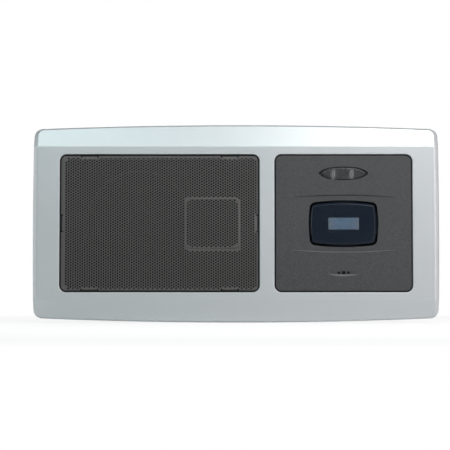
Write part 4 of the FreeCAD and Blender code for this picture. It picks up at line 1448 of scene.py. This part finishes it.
    def sunk(self, former: Former, faces: Iterable, floor: Callable[[Vector, bool], Vector], slices: tuple) -> None:
        """Sinks a patch of the skin and slopes its outer edge.

        Args:
            former: The former.
            faces: The patch.
            floor: Gives the new place of a corner, and is told whether it is at the patch's outer edge.
            slices: The axis, start, end and number of the cuts made across the patch first.
        """
        patch = set(former.sliced(faces, *slices))
        rim = [e for e in {e for f in patch for e in f.edges} if sum(f in patch for f in e.link_faces) == 1]
        opening = {v for e in rim if e.is_boundary for v in e.verts}
        outer_places = {v.co.copy().freeze() for e in rim if not e.is_boundary for v in e.verts}
        moved = only(bmesh.ops.extrude_face_region(former.bm, geom=list(patch))["geom"], BMVert)
        stray = {f for v in opening if v.is_valid for f in v.link_faces}
        bmesh.ops.delete(former.bm, geom=list(stray | patch), context="FACES")
        for vert in moved:
            vert.co = floor(vert.co.copy(), vert.co.copy().freeze() in outer_places)

    def hollow_floor(self, place: Vector, at_edge: bool) -> Vector:
        """The floor of the hollow round the button, up to the foot of the slope at its arcs.

        Args:
            place: A corner of the patch.
            at_edge: Whether it is at the patch's outer edge.

        Returns:
            Its new place.
        """
        deep = self.dip(place.x)
        place.y += deep
        share = abs(place.x - PANEL_X) / (self.scoop_width / 2)
        arc = (self.scoop_top if place.z > 0 else self.scoop_bottom) - self.scoop_drop * share ** 2
        foot = arc - self.scoop_slope * deep / self.scoop_depth
        if at_edge and share < 1 - NEAR or abs(place.z) > foot:
            place.z = math.copysign(foot, place.z)
        return place

    def nail_floor(self, place: Vector, at_edge: bool) -> Vector:
        """The floor of the hollow at the microphone, which slopes down to the foot of its lower lip.

        Args:
            place: A corner of the patch.
            at_edge: Whether it is at the patch's outer edge.

        Returns:
            Its new place.
        """
        low, high = self.mic_z - self.mic_scoop_lip, self.mic_z + self.mic_scoop_rise
        across = (place.x - PANEL_X) / (self.mic_scoop_width / 2)
        full = self.mic_scoop_depth * max(1 - across ** 2, 0.0)
        lip = low + self.mic_scoop_rise * across ** 2
        foot = lip + self.mic_lip_width * full / self.mic_scoop_depth
        if place.z < high - 1e-3 and place.z < foot and abs(across) < 1 - NEAR:
            place.z = foot
        place.y += full * (high - place.z) / (high - foot)
        return place

    def fittings(self, former: Former) -> None:
        """What stands behind the skin: arms, posts and the button's guides.

        Args:
            former: The former that is shaped.
        """
        root, half, wall = Y.panel_back - self.fitting_root, self.board / 2, self.guide_wall
        former.arms(half + self.board_gap, root, Y.board_back)
        button = CallButton()
        reach = button.gap + button.keeper_reach + self.guide_clearance + wall / 2
        length = button.keeper_width + 2 * (self.guide_clearance + wall)
        for side in (-1, 1):
            for z in (self.post_inset - half, half - self.post_inset):
                former.slab(PANEL_X + side * (half - self.post_inset), z, self.post, self.post, root, Y.board)
            x, z = PANEL_X + side * (button.width / 2 + reach), button.rise + side * (button.height / 2 + reach)
            former.slab(x, button.rise, wall, length, root, self.guide_back)
            former.slab(PANEL_X, z, length, wall, root, self.guide_back)

    def lens(self) -> None:
        """The smoked lens: a shallow dome on a square rim behind the panel."""
        former = Former()
        dome = [(0.3, 0.0), (0.6, 0.01), (0.85, 0.03), (0.95, 0.07), (0.985, 0.14), (1.0, 0.3)]
        front, gaps = Y.panel + self.lens_sink, (-self.lens_gap, -self.lens_tip_gap)
        levels = [(self.lens_outline(*gaps, share), front + depth) for share, depth in dome]
        former.skin(levels + [(self.lens_outline(*gaps), Y.panel_back)], caps=True)
        rim = Outline(PANEL_X, self.lens_z, *self.lens_rim, 1.0)
        former.plate(rim, Y.panel_back + 0.005, Y.panel_back + self.lens_rim_thick, 0.15, 0.15)
        former.piece("status_lens_cover", LENS, "smoked_lens", "status_lens")

    def build(self) -> None:
        """Builds the panel and its lens."""
        former = Former()
        self.face(former)
        self.fittings(former)
        former.piece("panel_moulding", PANEL, "panel_moulding", "control_panel", sharp=16.0)
        self.lens()


# Call button


@dataclass
class CallButton:
    """The navy call button, its window, and the pad and pills behind it."""

    width: float = 40.9
    height: float = 26.7
    corner: float = 1.6
    rise: float = -0.35
    wall: float = 1.7
    bevel: float = 1.1
    crown: float = 0.18
    gap: float = 1.2
    keeper_reach: float = 1.0
    keeper_width: float = 14.0
    keeper_root: float = 1.0
    skirt_back: float = -9.9
    window: Pair = (19.2, 7.6)
    window_gap: float = 0.12
    window_sink: float = 0.12
    window_rim: float = 1.0
    window_rim_back: float = -12.0
    stem: float = 4.0
    stem_x: float = 13.0
    stem_gap: float = 0.3
    dome_y: float = -7.8
    pad: Pair = (40.0, 14.0)
    pad_base: float = 1.0
    pad_eye: float = 6.0
    dome_foot: float = 9.6
    dome_top: float = 6.6
    dome_wall: float = 0.6
    dome_cap: float = 0.9
    keep: float = 0.70

    def outline(self) -> Outline:
        """The button's outline."""
        return Outline(PANEL_X, self.rise, self.width, self.height, self.corner, 1.5, 1.2, 14, 10, 8)

    def cap(self) -> None:
        """The cap: a crowned face, a rounded bevel and a skirt with four keeper lugs."""
        former = Former()
        outline = self.outline()
        bevel = [(self.bevel * 1.6, 0.0), (self.bevel, 0.0), (0.0, self.bevel), (0.0, self.bevel * 1.7)]
        levels = [
            (outline.grown(-reach), Y.button + self.crown + depth * (1 - self.crown / 2))
            for reach, depth in softened(bevel, 0.42, 4)
        ]
        inside = self.width - 2 * (self.wall + 1.2), self.height - 2 * (self.wall + 1.5)
        hollow = Outline(PANEL_X, self.rise, *inside, 1.0, cuts_x=14, cuts_z=10)
        levels += [(outline, self.skirt_back), (hollow, self.skirt_back), (hollow, Y.button_inside)]
        loops = former.skin(levels)
        window = Outline(PANEL_X, self.rise, *self.window, 0.35, cuts_x=6, cuts_z=3, corner_steps=4)
        rims = [(window.grown(reach), Y.button + depth) for reach, depth in quarter_round(0.25, 3)]
        rims = former.skin(rims + [(window, Y.button_inside)])
        for end in (0, -1):
            former.sheet(loops[end], rims[end])
        reach = self.gap + self.keeper_reach + self.keeper_root
        out, long, back = reach / 2 - self.keeper_root, self.keeper_width, self.skirt_back
        for side in (-1, 1):
            x, z = PANEL_X + side * (self.width / 2 + out), self.rise + side * (self.height / 2 + out)
            former.slab(x, self.rise, reach, long, Y.keeper, back)
            former.slab(PANEL_X, z, long, reach, Y.keeper, back)
            x, stem = PANEL_X + side * self.stem_x, self.stem
            former.slab(x, self.rise, stem, stem, Y.button_inside - 0.6, self.dome_y - self.stem_gap)
        former.piece("call_button_cap", CAP, "button_cap", "call_button", Body.BUTTON)

    def window_piece(self) -> None:
        """The milky window that is seated in the cap from behind."""
        former = Former()
        seat = Outline(PANEL_X, self.rise, *self.window, 0.3 + self.window_gap, cuts_x=4, cuts_z=2, corner_steps=4)
        pane = seat.grown(-self.window_gap)
        former.plate(pane, Y.button + self.window_sink, Y.button_inside + 0.1, 0.2, 0.05)
        rim = Outline(PANEL_X, self.rise, *(length + 2 * self.window_rim for length in self.window), 0.4)
        former.plate(rim, Y.button_inside, self.window_rim_back, 0.1, 0.1)
        former.piece("button_window_pane", WINDOW, "button_window", "button_window", Body.BUTTON)

    def return_pad(self) -> None:
        """The rubber pad with its two hollow domes under the button's stems."""
        former = Former()
        base, wall, top_y = Y.board - self.pad_base, self.dome_wall, self.dome_y
        sides = [PANEL_X - self.stem_x, PANEL_X + self.stem_x]
        feet = [Outline(x, self.rise, self.dome_foot, self.dome_foot, 2.0) for x in sides]
        sizes = self.pad, (self.pad_eye, self.pad_eye)
        shapes = [Outline(PANEL_X, self.rise, *size, 1.0, cuts_x=2, cuts_z=2) for size in sizes]
        shapes += [foot.grown(-wall) for foot in feet]
        faces = list(zip(*(former.skin([(shape, base), (shape, Y.board)]) for shape in shapes)))
        for face in faces:
            former.sheet(*face)
        for x, foot in zip(sides, feet):
            top = Outline(x, self.rise, self.dome_top, self.dome_top, 1.6)
            former.skin([
                (top.grown(-1.0), top_y), (top.grown(-0.3), top_y + 0.08), (top, top_y + 0.35), (foot, base),
                (foot.grown(-wall), base + 0.01), (top.grown(-wall), top_y + self.dome_cap),
            ], caps=True)
        piece = former.piece("return_pad", PAD_RUBBER, "pad_rubber", "button_return_pad")
        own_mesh(piece)

    def build(self) -> None:
        """Builds the cap, its window and the pad."""
        self.cap()
        self.window_piece()
        self.return_pad()


# Speaker behind the grille


@dataclass
class Speaker:
    """The loudspeaker on its baffle."""

    x: float = -60.0
    square: float = 77.0
    sheet: float = 0.9
    depth: float = 14.0
    mouth: float = 34.0
    waist: float = 22.0
    lap: float = 2.5
    leg_width: float = 12.0
    coil: float = 10.0
    coil_wall: float = 0.6
    clearance: float = 0.5
    pot_wall: float = 2.5
    pot_depth: float = 12.0
    magnet_height: float = 6.0
    pole: float = 2.5
    cone_fall: float = 7.0
    cone_sheet: float = 0.4
    roll: float = 5.0
    roll_height: float = 1.5
    rim: float = 0.8
    dome_rise: float = 3.0

    def basket(self) -> None:
        """The pressed basket: a square plate, a waist ring and four sloping legs."""
        former = Former()
        front, back, thick, waist = Y.speaker, Y.speaker + self.depth, self.sheet, self.waist
        plate = Outline(self.x, 0, self.square, self.square, 3.0, cuts_x=11, cuts_z=11, corner_steps=4)
        edges = former.skin([(plate, front), (plate, front + thick)])
        mouths = [former.circle(self.x, y, 0, self.mouth, 64) for y in (front, front + thick)]
        former.bridged(mouths)
        for loops in zip(edges, mouths):
            former.sheet(*loops)
        ring = self.coil + self.clearance
        former.turned([(ring, 0), (waist, 0), (waist, thick), (ring, thick)], (self.x, back - thick, 0))
        foot, start, sink = self.mouth + 2 * self.lap, front + thick / 2, 0.01
        line = [
            (foot, start), (foot + thick, start), (waist + thick, back - sink), (waist - 2 * thick, back - sink),
            (waist - 2 * thick, back - thick + sink),
        ]
        for turn in (math.radians(45 + 90 * quarter) for quarter in range(4)):
            outward = Vector((math.cos(turn), 0, math.sin(turn)))
            along = Vector((-math.sin(turn), 0, math.cos(turn))) * self.leg_width
            former.strip(Vector((self.x, 0, 0)) - along / 2, outward, along, line)
        former.piece("basket_pressing", STEEL, "plated_steel", "speaker_basket")

    def diaphragm(self) -> None:
        """The cone with its roll at the rim and the dome over the coil."""
        former = Former()
        top, out = self.sheet, self.mouth - self.rim
        inside, low, dome = out - self.roll, top + self.cone_fall, self.coil - self.coil_wall
        middle, half = (out + inside) / 2, self.roll / 2
        line = [(self.mouth + self.lap, top), (out, top)]
        for turn in (math.pi * i / 8 for i in range(1, 8)):
            line.append((middle + half * math.cos(turn), top - self.roll_height * math.sin(turn)))
        line += [(inside, top), (self.coil, low), (dome, low)]
        for share in (1 - i / 6 for i in range(1, 7)):
            line.append((dome * share, low - self.dome_rise * (1 - share * share)))
        back = [(radius, y + self.cone_sheet) for radius, y in reversed(line)]
        former.turned(line + back, (self.x, Y.speaker, 0))
        former.piece("cone_and_dome", PAPER, "cone", "speaker_diaphragm")

    def disc(self, front: float, back: float) -> list[Pair]:
        """The profile of a disc that fits inside the coil, with bevelled edges."""
        radius, bevel = self.coil - self.coil_wall - self.clearance, 0.3
        rim = [(radius - bevel, front), (radius, front + bevel), (radius, back - bevel), (radius - bevel, back)]
        return [(0, front), *rim, (0, back)]

    def motor(self) -> None:
        """The coil, the pot, the magnet and its pole plate."""
        front = Y.speaker + self.depth
        back = front + self.pot_depth
        pot, floor = self.coil + self.clearance + self.pot_wall, back - self.pot_wall
        coil_front, coil_back = Y.speaker + self.sheet + self.cone_fall + self.cone_sheet, floor - 2 * self.clearance
        inside, inner, magnet = self.coil - self.coil_wall, pot - self.pot_wall, floor - self.magnet_height
        for name, finish, slot, node, profile in (
            ("voice_coil", COPPER, "coil_wire", "speaker_voice_coil", [
                (inside, coil_front), (self.coil, coil_front), (self.coil, coil_back), (inside, coil_back),
            ]),
            ("magnet_pot", STEEL, "plated_steel", "speaker_magnet_pot", [
                (0, floor), (inner, floor), (inner, front), (pot - 0.4, front), (pot, front + 0.4),
                (pot, back - 1.0), (pot - 0.3, back - 0.3), (pot - 1.0, back), (0, back),
            ]),
            ("ring_magnet", MAGNET, "magnet", "speaker_magnet", self.disc(magnet, floor)),
            ("pole_plate", STEEL, "plated_steel", "speaker_pole_plate", self.disc(magnet - self.pole, magnet)),
        ):
            former = Former()
            former.turned(profile, (self.x, 0, 0))
            former.piece(name, finish, slot, node)

    def build(self) -> None:
        """Builds the speaker and its baffle."""
        self.basket()
        self.diaphragm()
        self.motor()
        softened_copy("speaker_baffle", 0.2, "baffle_moulding", BLACK, "black_moulding")


# Circuit board and what stands on it


@dataclass
class Electronics:
    """The board with its lamps, terminals, microphone, chip and cans."""

    lamp_x: float = 5.7
    lamp: Pair = (2.0, 5.0)
    lamp_front: float = -10.2
    button_lamp_front: float = -10.5
    terminal_pitch: float = 8.5
    terminal_z: float = -18.0
    terminal_back: float = 11.6
    well: float = 5.0
    clamp: tuple[float, float, float] = (6.1, 8.4, 1.0)
    head: float = 5.2
    head_height: float = 1.7
    slot: Pair = (8.0, 0.8)
    slot_depth: float = 0.9
    can: float = 8.0
    can_height: float = 9.0
    chip: float = 14.0
    chip_height: float = 4.0
    capsule: float = 9.7
    capsule_length: float = 6.0

    def lamps(self) -> None:
        """The bar lamps behind the lens, and the one behind the button's window."""
        pair = -self.lamp_x, self.lamp_x
        for name, finish, node, places, z, front in (
            ("bar_lamps", LIT_LAMP, "status_lamps", pair, ControlPanel.lens_z, self.lamp_front),
            ("window_lamp", LAMP, "button_lamp", (0.0,), CallButton.rise, self.button_lamp_front),
        ):
            former = Former()
            for x in places:
                former.plate(Outline(PANEL_X + x, z, *self.lamp, 0.5, corner_steps=4), front, Y.board, 0.45, 0.05)
            former.piece(name, finish, "lamp", node)

    def terminals(self) -> None:
        """The clamp plates and slotted screws of the terminal block."""
        former, tool = Former(), Former()
        width, height, thick = self.clamp
        seat, radius, top = self.terminal_back - self.well, self.head / 2, self.head_height
        base = seat + thick
        crown = [(radius, top - 0.5), (radius - 0.2, top - 0.15), (radius - 0.6, top)]
        head = [(0, -0.2), (radius, -0.2), *crown, (0, top)]
        for x in (PANEL_X + (i - 2.5) * self.terminal_pitch for i in range(6)):
            former.slab(x, self.terminal_z, width, height, seat, base)
            former.turned(head, (x, base, self.terminal_z), 28)
            tool.slab(x, self.terminal_z, *self.slot, base + top - self.slot_depth, base + top + 1.0, 0.05)
        former.cut(tool)
        former.piece("clamp_screws", STEEL, "plated_steel", "terminal_screws")

    def parts(self) -> None:
        """The chip, the two cans and the microphone capsule."""
        z, reach, back = ControlPanel.board / 4, ControlPanel.board / 5, Y.board_back
        former = Former()
        former.slab(PANEL_X - reach, z, self.chip, self.chip, back, back + self.chip_height, 0.35)
        former.piece("amplifier_package", CHIP, "chip", "amplifier_chip")
        former = Former()
        radius, tall = self.can / 2, self.can_height
        can = [
            (0, 0), (radius - 0.4, 0), (radius, 0.4), (radius, 1.2), (radius - 0.35, 1.6), (radius, 2.0),
            (radius, tall - 0.6), (radius - 0.5, tall), (radius - 0.9, tall), (radius - 1.0, tall - 0.2),
            (0, tall - 0.2),
        ]
        for side in (-1, 1):
            former.turned(can, (PANEL_X + reach + side * self.can * 0.6, back, z), 40)
        former.piece("can_pair", CAN, "can", "smoothing_cans")
        former = Former()
        radius, front = self.capsule / 2, -self.capsule_length
        former.turned([
            (0, front + 0.3), (radius - 1.4, front + 0.3), (radius - 1.2, front), (radius - 0.4, front),
            (radius, front + 0.4), (radius, -0.3), (radius - 0.3, 0), (0, 0),
        ], (PANEL_X, Y.board, ControlPanel.mic_z), 40)
        former.piece("microphone_capsule", RUBBER, "can", "microphone")

    def build(self) -> None:
        """Builds and dresses the electronics."""
        self.lamps()
        self.terminals()
        self.parts()
        dress("circuit_board", BOARD)
        dress("contact_pills", PILL)
        softened_copy("terminal_block", 0.25, "terminal_moulding", TERMINAL, "terminal_moulding")
        softened_copy("microphone_boot", 0.15, "microphone_sleeve", RUBBER, "black_rubber")


# Wall side


@dataclass
class WallSide:
    """The rear housing, its screws, and what stays on the wall."""

    head: float = 5.2
    head_height: float = 1.7
    shank: float = 3.0
    screw_length: float = 8.0
    cross: Pair = (2.9, 0.75)
    lock_head: float = 5.6
    lock_head_height: float = 1.6
    lock_length: float = 7.5
    lock_seat: float = -59.067
    thread_pitch: float = 0.5
    thread_depth: float = 0.28

    def thread(self, radius: float, start: float, end: float, way: int) -> list[Pair]:
        """The line of a screw's thread, as close ridges.

        Args:
            radius: The outer radius.
            start: Where it starts along the axis.
            end: Where its tip is.
            way: 1 or -1, the way that it runs.

        Returns:
            The points from tip to start.
        """
        root = radius - self.thread_depth
        line = [(radius, start)]
        for i in range(int((abs(end - start) - 0.8) / self.thread_pitch)):
            y = start + way * self.thread_pitch * i
            line += [(radius, y + way * 0.1), (root, y + way * 0.3), (radius, y + way * 0.5)]
        return [(0.0, end), (radius * 0.6, end - way * 0.1), *reversed(line)]

    def screws(self) -> None:
        """Four pan-head screws with cross recesses."""
        former, tool = Former(), Former()
        radius, seat, top = self.head / 2, Y.rim, Y.rim + self.head_height
        line = self.thread(self.shank / 2, seat, top - self.screw_length, -1)
        line += [(radius, seat), (radius, top - 0.8), (radius - 0.3, top - 0.25), (radius - 0.9, top), (0, top)]
        for x in (-FaceFrame.boss_x, FaceFrame.boss_x):
            for z in (-FaceFrame.boss_z, FaceFrame.boss_z):
                former.turned(line, (x, 0, z), 32)
                for size in (self.cross, self.cross[::-1]):
                    tool.slab(x, z, *size, top - 1.0, top + 1.0, 0.05)
        former.cut(tool)
        former.piece("pan_head_screws", STEEL, "plated_steel", "housing_screws")

    def lock_screws(self) -> None:
        """Two screws with hexagon recesses, driven from below."""
        former, tool = Former(), Former()
        radius, seat, low = self.lock_head / 2, self.lock_seat, self.lock_seat - self.lock_head_height
        line = self.thread(self.shank / 2, seat, seat + self.lock_length, 1)
        line += [(radius, seat), (radius, low + 0.4), (radius - 0.4, low), (0, low)]
        for x in (-FaceFrame.lock_x, FaceFrame.lock_x):
            foot = (x, FaceFrame.lock_y, 0)
            former.turned(line, foot, 32, upright=True)
            tool.turned([(0, low - 1), (1.2, low - 1), (1.2, low + 1.0), (0, low + 1.3)], foot, 6, upright=True)
        former.cut(tool)
        former.piece("lock_screw_pair", STEEL, "plated_steel", "lock_screws")

    def build(self) -> None:
        """Builds and dresses the wall side."""
        self.screws()
        self.lock_screws()
        softened_copy("rear_housing", 0.35, "housing_moulding", BLACK, "black_moulding")
        softened_copy("mounting_frame", 0.2, "mounting_plate", STEEL, "plated_steel")
        softened_copy("wall_gasket", 0.3, "gasket_ring", RUBBER, "black_rubber")


# Studio


@dataclass
class Studio:
    """The camera, the lights, and the pale floor and surroundings."""

    view_width: float = 278.6
    sensor: float = 36.0
    distance: float = 900.0
    elevation: float = -3.0
    aim: tuple[float, float, float] = (-6.85, -14.0, -1.2)
    floor_z: float = -61.6
    floor_size: float = 6.0
    shadow_from: float = 0.1
    shadow_gain: float = 2.5
    shadow_least: float = 0.8

    def camera(self) -> None:
        """A long lens a little below the middle of the face."""
        data = bpy.data.cameras.new("camera")
        data.sensor_fit = "HORIZONTAL"
        data.sensor_width = self.sensor
        data.lens = self.sensor * self.distance / self.view_width
        data.clip_end = 20.0
        camera = placed("camera", data)
        tilt = math.radians(self.elevation)
        away = Vector((0, -math.cos(tilt), math.sin(tilt)))
        camera.location = (Vector(self.aim) + away * self.distance) * MM
        camera.rotation_euler = (-away).to_track_quat("-Z", "Y").to_euler()
        bpy.context.scene.camera = camera

    def lamp(self, name: str, place: Sequence[float], size: Pair, power: float, tint: Colour) -> None:
        """A soft box that looks at the station.

        Args:
            name: The lamp's name.
            place: Where it hangs, in metres.
            size: Its width and height in metres.
            power: Its power in watts.
            tint: Its colour.
        """
        data = bpy.data.lights.new(name, "AREA")
        data.shape = "RECTANGLE"
        data.size, data.size_y = size
        data.energy = power
        data.color = tint
        lamp = placed(name, data)
        lamp.location = place
        lamp.rotation_euler = (-Vector(place)).to_track_quat("-Z", "Y").to_euler()

    def surroundings(self) -> None:
        """A soft grey world that looks white to the camera and through glass, but not in reflections."""
        world = bpy.data.worlds.new("surroundings")
        bpy.context.scene.world = world
        bench = Bench(world)
        soft = bench.node("Background", {"Color": (0.97, 0.985, 1.0), "Strength": 0.17})
        white = bench.node("Background", {"Color": WHITE, "Strength": 1.0})
        mixed = bench.node("MixShader", {0: self.shown_white(bench), 1: soft, 2: white})
        bench.node("OutputWorld", {"Surface": mixed})

    @staticmethod
    def shown_white(bench: Bench) -> Wire:
        """1 for what the camera sees straight or through glass."""
        return bench.node("LightPath", out="Is Camera Ray").at_least(bench.node("LightPath", out="Is Transmission Ray"))

    def floor(self) -> None:
        """A pale floor under the station, white to the camera but for a part of the station's shadow."""
        bm = bmesh.new()
        bmesh.ops.create_grid(bm, x_segments=8, y_segments=8, size=self.floor_size / 2)
        floor = settled("floor", bm)
        floor.location.z = self.floor_z * MM
        material = bpy.data.materials.new("pale_floor")
        bench = Bench(material)
        pale = bench.node("BsdfDiffuse", {"Color": (0.9, 0.9, 0.9)})
        white = bench.node("Emission", {"Color": WHITE, "Strength": 1.0})
        away = bench.node("VectorMath", {0: bench.place()}, "Value", operation="LENGTH")
        share = ((away - self.shadow_from) * self.shadow_gain).at_least(self.shadow_least).at_most(1.0)
        mixed = bench.node("MixShader", {0: self.shown_white(bench) * share, 1: pale, 2: white})
        bench.node("OutputMaterial", {"Surface": mixed})
        floor.data.materials.append(material)

    def build(self) -> None:
        """Sets up the studio."""
        bpy.context.scene.view_settings.view_transform = "Standard"
        self.camera()
        self.surroundings()
        self.floor()
        for lamp in (
            ("top_right", (0.2, -0.25, 0.26), (0.3, 0.2), 1.11, (1.0, 1.0, 0.97)),
            ("top_left", (-0.2, -0.25, 0.26), (0.3, 0.2), 0.46, (0.82, 1.0, 1.0)),
            ("right", (0.55, -0.42, 0.05), (0.3, 0.4), 1.44, (1.0, 0.87, 0.93)),
            ("left_edge", (-0.75, -0.14, 0.12), (0.2, 0.3), 0.6, WHITE),
            ("front_high", (0.1, -1.1, 0.65), (0.9, 0.5), 2.5, (0.82, 0.96, 1.0)),
            ("back_high", (-0.2, 0.9, 0.6), (0.8, 0.5), 6.0, WHITE),
        ):
            self.lamp(*lamp)


def main() -> None:
    """Builds the station in its studio."""
    logging.basicConfig(level=logging.INFO, format="%(message)s")
    for part in (Studio(), FaceFrame(), Grille(), ControlPanel(), CallButton(), Speaker(), Electronics(), WallSide()):
        log.info("building %s", type(part).__name__)
        part.build()


if __name__ == "__main__":
    main()
